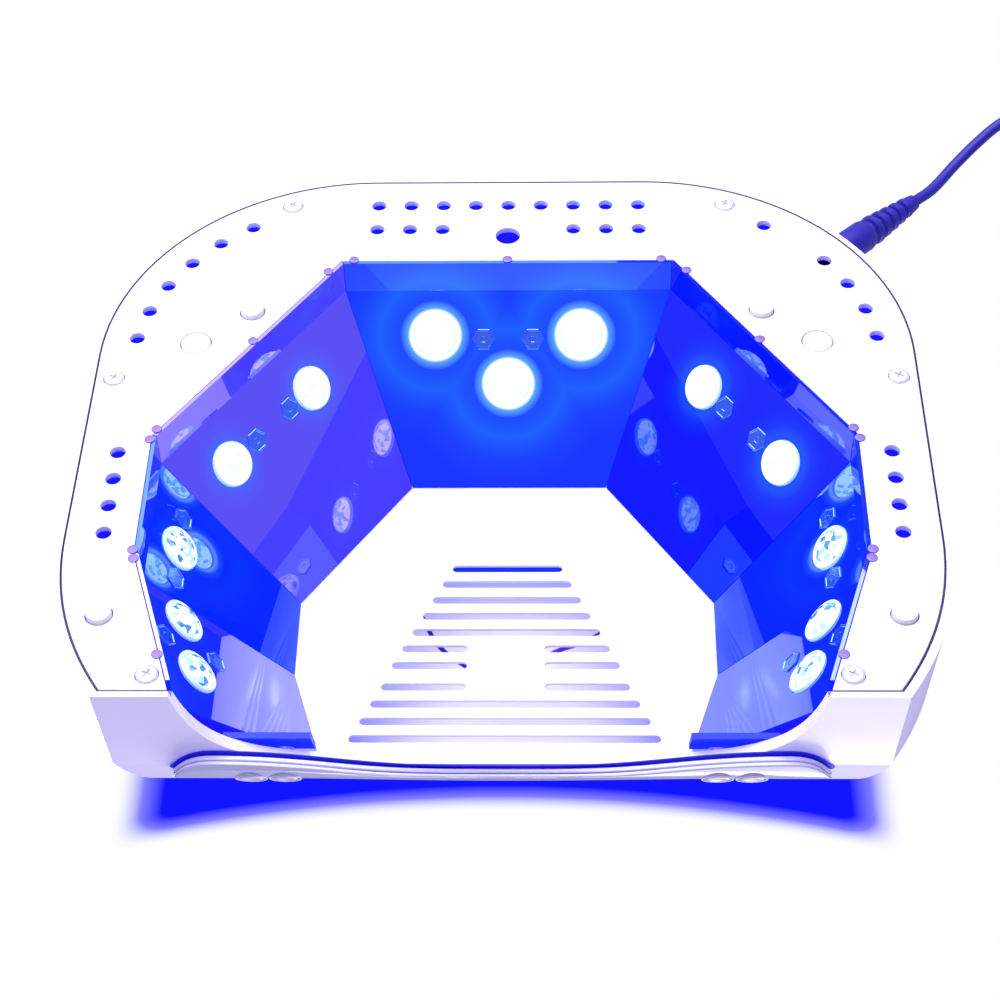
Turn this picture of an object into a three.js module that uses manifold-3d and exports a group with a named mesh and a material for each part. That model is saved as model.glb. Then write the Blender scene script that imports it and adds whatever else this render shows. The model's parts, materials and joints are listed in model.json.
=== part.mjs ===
// A UV LED nail lamp: a white domed case that stands on four feet, with a faceted mirror hand
// cavity inside it, thirteen lens LEDs, a slotted ceiling and a control panel over its front arch.
// Millimetres. +Z up, front towards -Y. The origin is under the middle of the lamp, at table height.
import * as THREE from 'three';
import { mergeVertices } from 'three/addons/utils/BufferGeometryUtils.js';
import Module from 'manifold-3d';

const wasm = await Module();
wasm.setup();

// ---- Driving dimensions ----
const caseWidth = 240;
const caseDepth = 204; // back wall to front wall, at the rim
const caseHeight = 86; // rim to crown
const wall = 2.5;
const lipWidth = 3.5; // the front wall, as seen round the hand arch
const rearCornerRadius = 79;
const frontEdgeInset = 16; // case side to a sharp front corner
const frontCornerRun = 52; // how far back a front corner's curve reaches
const frontCornerBulge = 10; // how full that curve is
const footHeight = 1.5; // table to rim
const fit = 0.3; // clearance between neighbouring pieces

const foldHeight = 30; // the front wall stands upright to here, then leans back
const frontLean = THREE.MathUtils.degToRad(25);
const draft = 1.5; // how much the walls close in up to the fold
const crownInset = 60; // the dome's run from the side and back walls to the flat crown
const frontCrownInset = 42; // the same at the front, on top of its lean
const crownSteps = 6;

const archInset = 20; // front corner to the foot of the hand arch
const archRise = 32;

const plateThickness = 2;
const rimWidth = 2;
const openingRearHalf = 49.5;
const openingSideGap = 22.3; // case side to the opening's shoulders
const openingFrontInset = 20.6; // front corner to the opening's front end
const openingRearGap = 39.8; // back wall to the opening's rear edge
const shoulderGap = 112; // back wall to the opening's shoulders
const hipGap = 155.5; // back wall to the opening's hips
const collarHeight = 11; // the reflectors' upright collar
const cavityHeight = 60; // rim to ceiling
const cavityLean = 36.5; // how far every reflector closes in on its way up
const sheet = 1; // reflector and ceiling sheet metal

const ventDiameter = 4.4;
const ventPitch = 10;
const rearRowGap = 12.9; // back wall to the first row of vents
const rowPitch = 11.2;
const cornerVentInset = 11.7;
const sideVentInset = 12.3;
const sideVentStart = 118.2; // back wall to the first side vent

const slotWidth = 2.6;
const slotPitch = 6.15;
const slotRows = 11;
const firstSlotHalf = 16.5;
const lastSlotGap = 17.1; // ceiling's side to the end of the front slot
const firstSlotGap = 33; // ceiling's rear edge to the first slot
const blankHalf = 11.2; // half of the blank that splits the middle rows
const blankRows = [5, 6, 7];
const blankStep = 1.7; // extra space in front of the split rows

const lensDiameter = 13.2;
const lensHeight = 5;
const lensGap = 2.6; // lens to the edge of a front reflector
const lensSpacing = 5.3; // between the two lenses of a front reflector
const boardThickness = 1.6;

const screwHead = 5.9;
const screwHeadHeight = 1.9;
const screwShank = 3;
const screwLength = 12;
const bossRadius = 3.5;
const wellDiameter = 7.4;
const wellDepth = 9;
const footDiameter = 6.9;
const magnetDiameter = 8.7;
const magnetThickness = 3;

const panelOverhang = 3.5; // foot of the hand arch to the panel's end
const panelHeight = 23;
const panelThickness = 4;
const panelLow = 23.5; // rim to the panel's lower edge at its ends
const panelArch = 8.3; // how much the panel's middle rises over the hand arch
const buttonDiameter = 6.9;
const buttonProud = 0.9;
const buttonTravel = 0.8;
const buttonInset = 21.5; // panel's end to the first button
const buttonPitch = 9;
const buttonY = 10.5; // panel's lower edge to the buttons

const jackAngle = THREE.MathUtils.degToRad(137); // round the rear corner on the -X side
const jackHeight = 12; // rim to the jack's axis
const jackBarrel = 5.5;
const plugDiameter = 10;
const plugLength = 40;
const cordDiameter = 3.5;

// ---- Values worked out from them ----
const panelReach = (foldHeight - panelLow) * Math.tan(frontLean)
  + (panelThickness + fit) * Math.cos(frontLean) - draft; // the panel's lower edge leads the case
const rearY = (caseDepth + panelReach) / 2;
const frontEdgeHalf = caseWidth / 2 - frontEdgeInset;
const archHalf = frontEdgeHalf - archInset;
const panelHalf = archHalf + panelOverhang;
const openingHalf = caseWidth / 2 - openingSideGap;
const openingFrontHalf = frontEdgeHalf - openingFrontInset;
const frontY = rearY - caseDepth;
const crownZ = footHeight + caseHeight;
const plateTop = footHeight + plateThickness;
const ceilingZ = footHeight + cavityHeight;
const cornerCentre = new THREE.Vector2(caseWidth / 2 - rearCornerRadius, rearY - rearCornerRadius);
const lean = Math.atan(cavityLean / (cavityHeight - collarHeight));

// ---- Materials ----
const finish = (color, roughness, metalness = 0) =>
  new THREE.MeshStandardMaterial({ color, roughness, metalness });
const whitePlastic = finish('#eeeef6', 0.3);
const whitePlate = finish('#f2f2f8', 0.35);
const mirror = finish('#cfd8ee', 0.05, 1);
const lensPlastic = finish('#e8f2ff', 0.05);
const boardGreen = finish('#1f5a3a', 0.6);
const boardWhite = finish('#e9ecef', 0.5);
const steel = finish('#c9ccd3', 0.3, 1);
const silicone = finish('#f4f4f4', 0.7);
const blackPlastic = finish('#16161c', 0.5);
const buttonWhite = finish('#f6f6fb', 0.4);
const cordRubber = finish('#1b1b22', 0.6);

const lamp = new THREE.Group();

// ---- Small tools ----
function part(name, geometry, material, parent = lamp) {
  const mesh = new THREE.Mesh(geometry, material);
  mesh.name = name;
  parent.add(mesh);
  return mesh;
}

function solid(geometry) {
  const bare = geometry.clone();
  bare.deleteAttribute('normal');
  bare.deleteAttribute('uv');
  const merged = mergeVertices(bare, 1e-4);
  return new wasm.Manifold(new wasm.Mesh({
    numProp: 3,
    vertProperties: new Float32Array(merged.attributes.position.array),
    triVerts: new Uint32Array(merged.index.array),
  }));
}

function geometryOf(manifold) {
  const mesh = manifold.getMesh();
  const geometry = new THREE.BufferGeometry();
  geometry.setAttribute('position', new THREE.BufferAttribute(mesh.vertProperties, 3));
  geometry.setIndex(new THREE.BufferAttribute(mesh.triVerts, 1));
  geometry.computeVertexNormals();
  return geometry;
}

function shaped(base, added, removed = []) {
  let result = solid(base);
  for (const piece of added) result = result.add(solid(piece));
  for (const piece of removed) result = result.subtract(solid(piece));
  return geometryOf(result);
}

const polygon = (points) => new THREE.Shape(points.map(([x, y]) => new THREE.Vector2(x, y)));

function slab(shape, bottom, thickness, curveSegments = 6) {
  return new THREE.ExtrudeGeometry(shape, { depth: thickness, bevelEnabled: false, curveSegments })
    .translate(0, 0, bottom);
}

function post(x, y, bottom, height, radius, sides = 10) {
  return new THREE.CylinderGeometry(radius, radius, height, sides)
    .rotateX(Math.PI / 2).translate(x, y, bottom + height / 2);
}

// A turned solid whose axis is +Z; profile points are [radius, z], from axis to axis.
function turned(profile, sides = 16) {
  const points = profile.map(([radius, z]) => new THREE.Vector2(radius, z));
  return new THREE.LatheGeometry(points, sides).rotateX(Math.PI / 2);
}

// A round lead along a smooth curve through the points.
function tube(points) {
  const path = new THREE.CatmullRomCurve3(points, false, 'centripetal');
  const steps = Math.min(80, Math.ceil(path.getLength() / (2 * cordDiameter)));
  const section = new THREE.Shape().absarc(0, 0, cordDiameter / 2, 0, 2 * Math.PI);
  return new THREE.ExtrudeGeometry(section, { extrudePath: path, steps, curveSegments: 4 });
}

const block = (width, depth, height, x = 0, y = 0, z = 0) =>
  new THREE.BoxGeometry(width, depth, height).translate(x, y, z);

// ---- Case outline and dome ----
function outline(side, front, rear) {
  const half = caseWidth / 2 - side;
  const yFront = frontY + front;
  const edge = frontEdgeHalf - side;
  const { x: cx, y: cy } = cornerCentre;
  const radiusX = rearCornerRadius - side;
  const radiusY = rearCornerRadius - rear;
  const run = frontCornerRun;
  const bulge = frontCornerBulge;
  const shape = new THREE.Shape();
  shape.moveTo(edge, yFront);
  shape.bezierCurveTo(edge + bulge, yFront + 0.28 * run, half, yFront + 0.6 * run, half, yFront + run);
  shape.lineTo(half, cy);
  shape.absellipse(cx, cy, radiusX, radiusY, 0, Math.PI / 2);
  shape.lineTo(-cx, rearY - rear);
  shape.absellipse(-cx, cy, radiusX, radiusY, Math.PI / 2, Math.PI);
  shape.lineTo(-half, yFront + run);
  shape.bezierCurveTo(-half, yFront + 0.6 * run, -edge - bulge, yFront + 0.28 * run, -edge, yFront);
  shape.closePath();
  return shape;
}

// How far a round-over has closed in at `height`, from where it starts to the crown's top.
function roundOver(height, from, top, run) {
  const share = THREE.MathUtils.clamp((height - from) / (top - from), 0, 1);
  return run * (1 - Math.sqrt(1 - share * share));
}
// The front wall's inset at `height` over the rim: upright, then leaning, then rounding over.
function frontInset(height, thickness) {
  const drafted = draft * THREE.MathUtils.clamp(height / foldHeight, 0, 1);
  const leaned = Math.max(0, height - foldHeight) * Math.tan(frontLean);
  const top = caseHeight - (thickness ? wall : 0);
  return drafted + thickness + leaned + roundOver(height, panelLow + panelHeight, top, frontCrownInset);
}

// The dome's closed skin, or the space inside its walls where `inside` is true.
function dome(inside) {
  const top = caseHeight - (inside ? wall : 0);
  const heights = [inside ? -1 : 0, foldHeight];
  for (let step = 1; step <= crownSteps; step += 1) {
    heights.push(foldHeight + (top - foldHeight) * Math.sin((step / crownSteps) * Math.PI / 2));
  }
  const sections = heights.map((height) => {
    const drafted = draft * THREE.MathUtils.clamp(height / foldHeight, 0, 1);
    const side = drafted + (inside ? wall : 0) + roundOver(height, foldHeight, top, crownInset);
    const front = frontInset(height, inside ? lipWidth : 0);
    const curves = outline(side, front, side).curves.filter((curve) => curve.getLength() > 1e-6);
    return curves.flatMap((curve) => {
      const steps = curve.isLineCurve ? 1 : 9;
      return curve.getPoints(steps).slice(0, -1)
        .map((p) => new THREE.Vector3(p.x, p.y, footHeight + height));
    });
  });
  return skin(sections);
}

// Joins rings of points, one above another, into a closed solid.
function skin(sections) {
  const count = sections[0].length;
  const flat = sections[0].map((p) => new THREE.Vector2(p.x, p.y));
  const cap = THREE.ShapeUtils.triangulateShape(flat, []);
  const last = (sections.length - 1) * count;
  const index = [];
  cap.forEach(([a, b, c]) => index.push(c, b, a, last + a, last + b, last + c));
  for (let level = 0; level < sections.length - 1; level += 1) {
    for (let i = 0; i < count; i += 1) {
      const a = level * count + i;
      const b = level * count + (i + 1) % count;
      index.push(a, b, b + count, a, b + count, a + count);
    }
  }
  const geometry = new THREE.BufferGeometry();
  geometry.setAttribute('position', new THREE.Float32BufferAttribute(
    sections.flat().flatMap((p) => [p.x, p.y, p.z]), 3));
  geometry.setIndex(index);
  return geometry;
}

// ---- Hand opening: corners from one front end round the back to the other ----
const openingCorners = [
  [openingFrontHalf, frontY + lipWidth], [openingHalf - 0.3, rearY - hipGap],
  [openingHalf, rearY - shoulderGap], [openingRearHalf, rearY - openingRearGap],
  [-openingRearHalf, rearY - openingRearGap], [-openingHalf, rearY - shoulderGap],
  [-openingHalf + 0.3, rearY - hipGap], [-openingFrontHalf, frontY + lipWidth],
].map(([x, y]) => new THREE.Vector2(x, y));
const panelNames = ['front_right', 'side_right', 'diagonal_right', 'rear', 'diagonal_left',
  'side_left', 'front_left'];

// ---- Fixing places, on the plate ----
// A place `out` from a diagonal edge of the opening and `along` it from its rear corner.
function besideDiagonal(side, along, out) {
  const [, , shoulder, corner] = openingCorners;
  const run = shoulder.clone().sub(corner).normalize();
  return [side * (corner.x + run.x * along - run.y * out), corner.y + run.y * along + run.x * out];
}
const screwPlaces = [];
const footPlaces = [];
const magnetPlaces = [];
for (const side of [-1, 1]) {
  screwPlaces.push([side * (cornerCentre.x + 25.7), rearY - 13]);
  screwPlaces.push([side * (caseWidth / 2 - 7.4), rearY - 88.7]);
  screwPlaces.push([side * (frontEdgeHalf - 13.9), frontY + 7.2]);
  footPlaces.push(besideDiagonal(side, 31.68, 9.64));
  footPlaces.push([side * (caseWidth / 2 - 14.9), frontY + 27.1]);
  magnetPlaces.push(besideDiagonal(side, 51.3, 15.06));
}
const wellPlace = [0, rearY - 27.2];

// ---- Control panel's own frame: X across, Y up its face, Z out of it ----
const panelFrame = new THREE.Group();
panelFrame.rotation.x = Math.PI / 2 - frontLean;
panelFrame.position.set(
  0,
  frontY + draft - (foldHeight - panelLow) * Math.tan(frontLean) - fit * Math.cos(frontLean),
  footHeight + panelLow + fit * Math.sin(frontLean),
);
lamp.add(panelFrame);
panelFrame.updateMatrixWorld();
const inPanelFrame = (geometry) => geometry.clone().applyMatrix4(panelFrame.matrix);

function panelOutline(inset) {
  const straight = panelHalf - panelHeight / 2;
  const swell = (x) => panelArch * 0.5 * (1 + Math.cos(Math.PI * Math.min(1, Math.abs(x) / straight)));
  const radius = panelHeight / 2 - inset;
  const steps = 14;
  const lower = [];
  for (let i = 0; i <= steps; i += 1) {
    const x = -straight + (2 * straight * i) / steps;
    lower.push([x, swell(x) + inset]);
  }
  const upper = lower.map(([x, y]) => [x, y + 2 * radius]).reverse();
  const ends = [];
  for (let i = 1; i < 8; i += 1) {
    const angle = -Math.PI / 2 + (Math.PI * i) / 8;
    ends.push([straight + radius * Math.cos(angle), panelHeight / 2 + radius * Math.sin(angle)]);
  }
  const farEnds = ends.map(([x, y]) => [-x, y]).reverse();
  return polygon([...lower, ...ends, ...upper, ...farEnds]);
}
const firstButton = panelHalf - buttonInset;
const buttonPlaces = [-firstButton, buttonPitch - firstButton, firstButton - buttonPitch, firstButton];
const stemRadius = 2.2;
const boardFace = -lipWidth - 2.4; // the button boards' outer face, behind the case wall
const boardHeight = 14;
const switchGap = buttonTravel + 0.4;

// ---- DC jack's frame: Z along the socket's axis, out through the case ----
const jackFrame = new THREE.Group();
jackFrame.position.set(-cornerCentre.x, cornerCentre.y, footHeight + jackHeight);
jackFrame.rotation.set(0, Math.PI / 2, jackAngle, 'ZYX');
lamp.add(jackFrame);
jackFrame.updateMatrixWorld();
const caseFace = rearCornerRadius - draft * (jackHeight / foldHeight);
const innerFace = caseFace - wall - 1.4;
const socketDepth = 8;

// ---- Case shell ----
function caseShell() {
  const outer = solid(dome(false));
  let shell = outer.subtract(solid(dome(true)));
  for (const [x, y] of screwPlaces) {
    shell = shell.add(outer.intersect(solid(post(x, y, plateTop + fit, crownZ, bossRadius))));
    shell = shell.subtract(solid(post(x, y, footHeight, screwLength + fit, screwShank / 2 + fit)));
  }
  const [wellX, wellY] = wellPlace;
  const wellBoss = post(wellX, wellY, plateTop + fit + wellDepth, crownZ, wellDiameter / 2 + 1.5);
  shell = shell.add(outer.intersect(solid(wellBoss)));
  shell = shell.subtract(solid(post(wellX, wellY, plateTop, wellDepth + screwLength + fit,
    screwShank / 2 + fit)));
  const arch = new THREE.Shape();
  arch.moveTo(archHalf, -2);
  arch.lineTo(archHalf, 0);
  arch.bezierCurveTo(archHalf * 0.93, archRise * 0.91, archHalf * 0.775, archRise, 0, archRise);
  arch.bezierCurveTo(-archHalf * 0.775, archRise, -archHalf * 0.93, archRise * 0.91, -archHalf, 0);
  arch.lineTo(-archHalf, -2);
  const mouth = new THREE.ExtrudeGeometry(arch, { depth: 20, bevelEnabled: false, curveSegments: 10 })
    .rotateX(Math.PI / 2).translate(0, frontY + 12, footHeight);
  shell = shell.subtract(solid(mouth));
  const seat = slab(outline(rimWidth - fit, rimWidth - fit, rimWidth - fit), 0, plateTop + fit, 8);
  shell = shell.subtract(solid(seat));
  const openings = buttonPlaces.map((x) => post(x, buttonY, -12, 14, stemRadius + fit));
  for (const opening of openings) shell = shell.subtract(solid(inPanelFrame(opening)));
  const jackHole = new THREE.CylinderGeometry(jackBarrel + fit, jackBarrel + fit, 20, 16)
    .rotateX(Math.PI / 2).translate(0, 0, caseFace);
  shell = shell.subtract(solid(jackHole.applyMatrix4(jackFrame.matrix)));
  return geometryOf(shell);
}
part('case_shell', caseShell(), whitePlastic);

// ---- Reflectors: seven bent mirror sheets, each an upright collar and a leaning face ----
// The opening's corners moved inwards by `inset`, with both ends on the line y = frontLimit.
function insetCorners(inset, frontLimit) {
  const lines = [];
  for (let i = 0; i < openingCorners.length - 1; i += 1) {
    const along = openingCorners[i + 1].clone().sub(openingCorners[i]).normalize();
    const inward = new THREE.Vector2(-along.y, along.x);
    lines.push({ point: openingCorners[i].clone().addScaledVector(inward, inset), along });
  }
  const crossing = (a, b) => {
    const gap = b.point.clone().sub(a.point);
    const distance = gap.cross(b.along) / a.along.cross(b.along);
    return a.point.clone().addScaledVector(a.along, distance);
  };
  const front = { point: new THREE.Vector2(0, frontLimit), along: new THREE.Vector2(1, 0) };
  const corners = [crossing(lines[0], front)];
  for (let i = 1; i < lines.length; i += 1) corners.push(crossing(lines[i - 1], lines[i]));
  corners.push(crossing(lines[lines.length - 1], front));
  return corners;
}
const collarFront = frontY + lipWidth + draft + fit;
// The reflectors' front ends lean back far enough to pass behind the button boards' top edges.
const boardTop = buttonY + boardHeight / 2;
const boardBack = boardFace - boardThickness - fit;
const boardEdge = new THREE.Vector3(0, boardTop, boardBack).applyMatrix4(panelFrame.matrix);
const behindBoard = collarFront + (boardEdge.y - collarFront)
  * ((cavityHeight - collarHeight) / (boardEdge.z - footHeight - collarHeight));
const ceilingFront = Math.max(frontY + frontInset(cavityHeight + sheet + fit, lipWidth) + 1, behindBoard);

// ---- Bottom plate ----
function bottomPlate() {
  const body = slab(outline(rimWidth, rimWidth, rimWidth), footHeight, plateThickness, 8);
  const notch = insetCorners(-sheet - fit, frontY - 1).map(({ x, y }) => [x, y]);
  const cuts = [slab(polygon(notch), 0, plateTop + 1)];
  const vent = (x, y) => cuts.push(post(x, y, 0, plateTop + 1, ventDiameter / 2));
  for (let i = -4; i <= 4; i += 1) {
    vent(i * ventPitch, rearY - rearRowGap);
    if (Math.abs(i) > 1) vent(i * ventPitch, rearY - rearRowGap - rowPitch);
  }
  const arcRadius = rearCornerRadius - cornerVentInset;
  for (const side of [-1, 1]) {
    for (let i = 0; i < 6; i += 1) {
      const angle = THREE.MathUtils.degToRad(6 + 10.1 * i);
      const blockedByJack = side < 0 && i === 4;
      if (blockedByJack) continue;
      const x = cornerCentre.x + arcRadius * Math.cos(angle);
      vent(side * x, cornerCentre.y + arcRadius * Math.sin(angle));
    }
    for (let i = 0; i < 4; i += 1) {
      vent(side * (caseWidth / 2 - sideVentInset), rearY - sideVentStart - i * ventPitch);
    }
  }
  const headRoom = screwHead / 2 + fit;
  const floor = footHeight + screwHeadHeight - 0.6;
  for (const [x, y] of screwPlaces) {
    cuts.push(post(x, y, 0, floor + fit, headRoom), post(x, y, 0, plateTop + 1, screwShank / 2 + fit));
  }
  for (const [x, y] of footPlaces) cuts.push(post(x, y, 0, footHeight + 1, footDiameter / 2 + fit, 20));
  for (const [x, y] of magnetPlaces) cuts.push(post(x, y, 0, plateTop + 1, magnetDiameter / 2 + fit, 20));
  cuts.push(post(...wellPlace, 0, plateTop + 1, wellDiameter / 2, 16));
  return shaped(body, [], cuts);
}
part('bottom_plate', bottomPlate(), whitePlate);

const seam = 0.36;
function reflector(index, cuts) {
  const slantThickness = sheet / Math.cos(lean);
  const bendRise = (slantThickness - sheet) / Math.tan(lean);
  const rings = [
    [0, footHeight, collarFront], [0, footHeight + collarHeight, collarFront],
    [cavityLean, ceilingZ, ceilingFront], [cavityLean - slantThickness, ceilingZ, ceilingFront],
    [-sheet, footHeight + collarHeight + bendRise, collarFront], [-sheet, footHeight, collarFront],
  ];
  const ends = [[], []];
  for (const [inset, z, front] of rings) {
    const corners = insetCorners(inset, front);
    const from = corners[index];
    const to = corners[index + 1];
    const along = to.clone().sub(from).normalize().multiplyScalar(seam / 2);
    const start = from.clone().add(along);
    const end = to.clone().sub(along);
    ends[0].push(new THREE.Vector3(start.x, start.y, z));
    ends[1].push(new THREE.Vector3(end.x, end.y, z));
  }
  return shaped(prism(ends[0], ends[1]), [], cuts);
}

// A closed solid between two six-cornered ends: a collar, a bend and a face.
function prism(first, second) {
  const index = [];
  const count = first.length;
  const caps = [[0, 1, 4], [0, 4, 5], [1, 2, 3], [1, 3, 4]];
  caps.forEach(([a, b, c]) => index.push(c, b, a, count + a, count + b, count + c));
  for (let i = 0; i < count; i += 1) {
    const j = (i + 1) % count;
    index.push(i, j, count + j, i, count + j, count + i);
  }
  const geometry = new THREE.BufferGeometry();
  geometry.setAttribute('position', new THREE.Float32BufferAttribute(
    [...first, ...second].flatMap((p) => [p.x, p.y, p.z]), 3));
  geometry.setIndex(index);
  return geometry;
}

// The frame of reflector `index`: X along it, Z out of its face into the cavity, origin on its face.
function faceFrame(index, along, height) {
  const low = insetCorners(0, collarFront);
  const from = low[index];
  const to = low[index + 1];
  const edge = to.clone().sub(from);
  const middle = from.clone().add(to).multiplyScalar(0.5);
  const unit = edge.clone().normalize();
  const inward = new THREE.Vector2(-unit.y, unit.x);
  const shift = (height - collarHeight) * Math.tan(lean);
  const at = middle.addScaledVector(unit, along).addScaledVector(inward, shift);
  const normal = new THREE.Vector3(inward.x * Math.cos(lean), inward.y * Math.cos(lean), -Math.sin(lean));
  const xAxis = new THREE.Vector3(unit.x, unit.y, 0);
  const yAxis = normal.clone().cross(xAxis);
  const frame = new THREE.Group();
  frame.matrix.makeBasis(xAxis, yAxis, normal).setPosition(at.x, at.y, footHeight + height);
  frame.matrix.decompose(frame.position, frame.quaternion, frame.scale);
  return frame;
}

// LED places on each reflector: [name, distance along it from its middle, height over the rim].
const hipReach = (fromHip) => fromHip - openingCorners[0].distanceTo(openingCorners[1]) / 2;
const firstLens = lensDiameter / 2 + lensGap;
const secondLens = firstLens + lensDiameter + lensSpacing;
const ledPlaces = {
  rear: [['left', 22.3, 22], ['right', -22.3, 22], ['centre', 0, 34]],
  diagonal_left: [['back', -13.3, 23], ['front', 24.3, 23]],
  diagonal_right: [['back', 13.3, 23], ['front', -24.3, 23]],
  side_left: [['middle', 2.7, 20]],
  side_right: [['middle', -2.7, 20]],
  front_left: [['back', hipReach(firstLens), 22], ['front', hipReach(secondLens), 22]],
  front_right: [['back', -hipReach(firstLens), 22], ['front', -hipReach(secondLens), 22]],
};
// The circuit board behind each reflector: its width and height, and its middle.
const frontBoardPlace = hipReach((firstLens + secondLens) / 2);
const boards = {
  rear: [66, 32, 0, 27], diagonal_left: [62, 18, 5.5, 23], diagonal_right: [62, 18, -5.5, 23],
  side_left: [26, 18, 2.7, 21], side_right: [26, 18, -2.7, 21],
  front_left: [37, 18, frontBoardPlace, 22], front_right: [37, 18, -frontBoardPlace, 22],
};
const lensProfile = [[0, -sheet], [lensDiameter / 2, -sheet], [lensDiameter / 2, 1],
  [lensDiameter * 0.44, lensHeight * 0.55], [lensDiameter * 0.3, lensHeight * 0.85], [0, lensHeight]];

panelNames.forEach((name, index) => {
  const cuts = [];
  for (const [place, along, height] of ledPlaces[name]) {
    const frame = faceFrame(index, along, height);
    lamp.add(frame);
    part(`led_${name}_${place}`, turned(lensProfile, 14), lensPlastic, frame);
    frame.updateMatrixWorld();
    cuts.push(turned([[0, -4], [lensDiameter / 2 + fit, -4], [lensDiameter / 2 + fit, 3], [0, 3]], 20)
      .applyMatrix4(frame.matrix));
  }
  part(`reflector_${name}`, reflector(index, cuts), mirror);
  const [width, height, along, middle] = boards[name];
  const frame = faceFrame(index, along, middle);
  lamp.add(frame);
  const behind = -sheet - fit - boardThickness / 2;
  part(`led_board_${name}`, block(width, height, boardThickness, 0, 0, behind), boardWhite, frame);
});

// ---- Ceiling plate with its slots ----
const lastSlotHalf = openingHalf - cavityLean - lastSlotGap;
const slotGrowth = (lastSlotHalf - firstSlotHalf) / (slotRows - 1);
function ceilingPlate() {
  const edge = insetCorners(cavityLean - 1.2, ceilingFront).map(({ x, y }) => [x, y]);
  const slots = [];
  let y = insetCorners(cavityLean, ceilingFront)[3].y - firstSlotGap;
  for (let row = 0; row < slotRows; row += 1) {
    const half = firstSlotHalf + row * slotGrowth;
    const spans = blankRows.includes(row) ? [[-half, -blankHalf], [blankHalf, half]] : [[-half, half]];
    for (const [left, right] of spans) slots.push(slab(slot(left, right, y), ceilingZ - 1, 4, 4));
    y -= slotPitch;
    if (row === blankRows[1]) y -= blankStep;
  }
  return shaped(slab(polygon(edge), ceilingZ + fit, sheet), [], slots);
}
function slot(left, right, y) {
  const radius = slotWidth / 2;
  const shape = new THREE.Shape();
  shape.absarc(right - radius, y, radius, -Math.PI / 2, Math.PI / 2);
  shape.absarc(left + radius, y, radius, Math.PI / 2, Math.PI * 1.5);
  shape.closePath();
  return shape;
}
part('ceiling_plate', ceilingPlate(), whitePlate);

// ---- Screws, feet and magnets ----
function panHeadScrew() {
  const head = screwHead / 2;
  const shank = screwShank / 2;
  const profile = [[0, 0], [head * 0.7, 0], [head, 0.7], [head, screwHeadHeight],
    [shank, screwHeadHeight], [shank, screwLength], [0, screwLength]];
  const cross = [block(3.4, 0.8, 1.6), block(0.8, 3.4, 1.6)];
  return shaped(turned(profile, 12), [], cross);
}
const headLift = 0.6; // the heads stand this far out of the plate, clear of the table
screwPlaces.forEach(([x, y], i) => {
  part(`plate_screw_${i + 1}`, panHeadScrew(), steel).position.set(x, y, footHeight - headLift);
});
part('centre_screw', panHeadScrew(), steel)
  .position.set(...wellPlace, plateTop + wellDepth - screwHeadHeight);
footPlaces.forEach(([x, y], i) => {
  const radius = footDiameter / 2;
  const profile = [[0, 0], [radius - 0.5, 0], [radius, 0.5], [radius, footHeight + 1 - fit],
    [0, footHeight + 1 - fit]];
  part(`foot_${i + 1}`, turned(profile, 20), silicone).position.set(x, y, 0);
});
magnetPlaces.forEach(([x, y], i) => {
  part(`base_magnet_${i + 1}`, post(x, y, footHeight, magnetThickness, magnetDiameter / 2, 20), steel);
});

// ---- Control panel and buttons ----
function controlPanel() {
  const body = slab(panelOutline(0), 0, panelThickness);
  const radius = buttonDiameter / 2 + fit;
  const cuts = buttonPlaces.map((x) => post(x, buttonY, -1, panelThickness + 2, radius, 20));
  return shaped(body, [], cuts);
}
part('control_panel', controlPanel(), whitePlastic, panelFrame);
buttonPlaces.forEach((x, i) => {
  const radius = buttonDiameter / 2;
  const top = panelThickness + buttonProud;
  const low = boardFace + switchGap;
  const profile = [[0, low], [stemRadius, low], [stemRadius, buttonTravel],
    [radius, buttonTravel], [radius, top - 0.4],
    [radius - 0.4, top], [0, top]];
  part(`button_${i + 1}`, turned(profile, 16), buttonWhite, panelFrame).position.set(x, buttonY, 0);
});
for (const [side, name] of [[1, 'right'], [-1, 'left']]) {
  const middle = side * (firstButton - buttonPitch / 2);
  const board = block(buttonPitch + 14, boardHeight, boardThickness, middle, buttonY,
    boardFace - boardThickness / 2);
  part(`button_board_${name}`, board, boardGreen, panelFrame);
}

// ---- Driver board over the ceiling ----
function driverBoard() {
  const base = block(70, 44, boardThickness);
  const parts = [block(16, 14, 9, -22, -8, 4.8), block(12, 22, 6, 0, 4, 3.6), block(9, 9, 10, 20, -10, 5.4)];
  return shaped(base, parts);
}
const driver = part('driver_board', driverBoard(), boardGreen);
driver.position.set(0, rearY - 84, ceilingZ + 7);
const leadStart = driver.position.clone().add(new THREE.Vector3(-36, 18, 2));
const behindJack = (gap) => new THREE.Vector3(0, 0, innerFace - socketDepth - gap)
  .applyMatrix4(jackFrame.matrix);
const leadMiddle = leadStart.clone().lerp(behindJack(6), 0.55).add(new THREE.Vector3(-6, 6, 6));
part('power_leads', tube([leadStart, leadStart.clone().add(new THREE.Vector3(-6, 3, 1)),
  leadMiddle, behindJack(6), behindJack(1)]), cordRubber);

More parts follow.
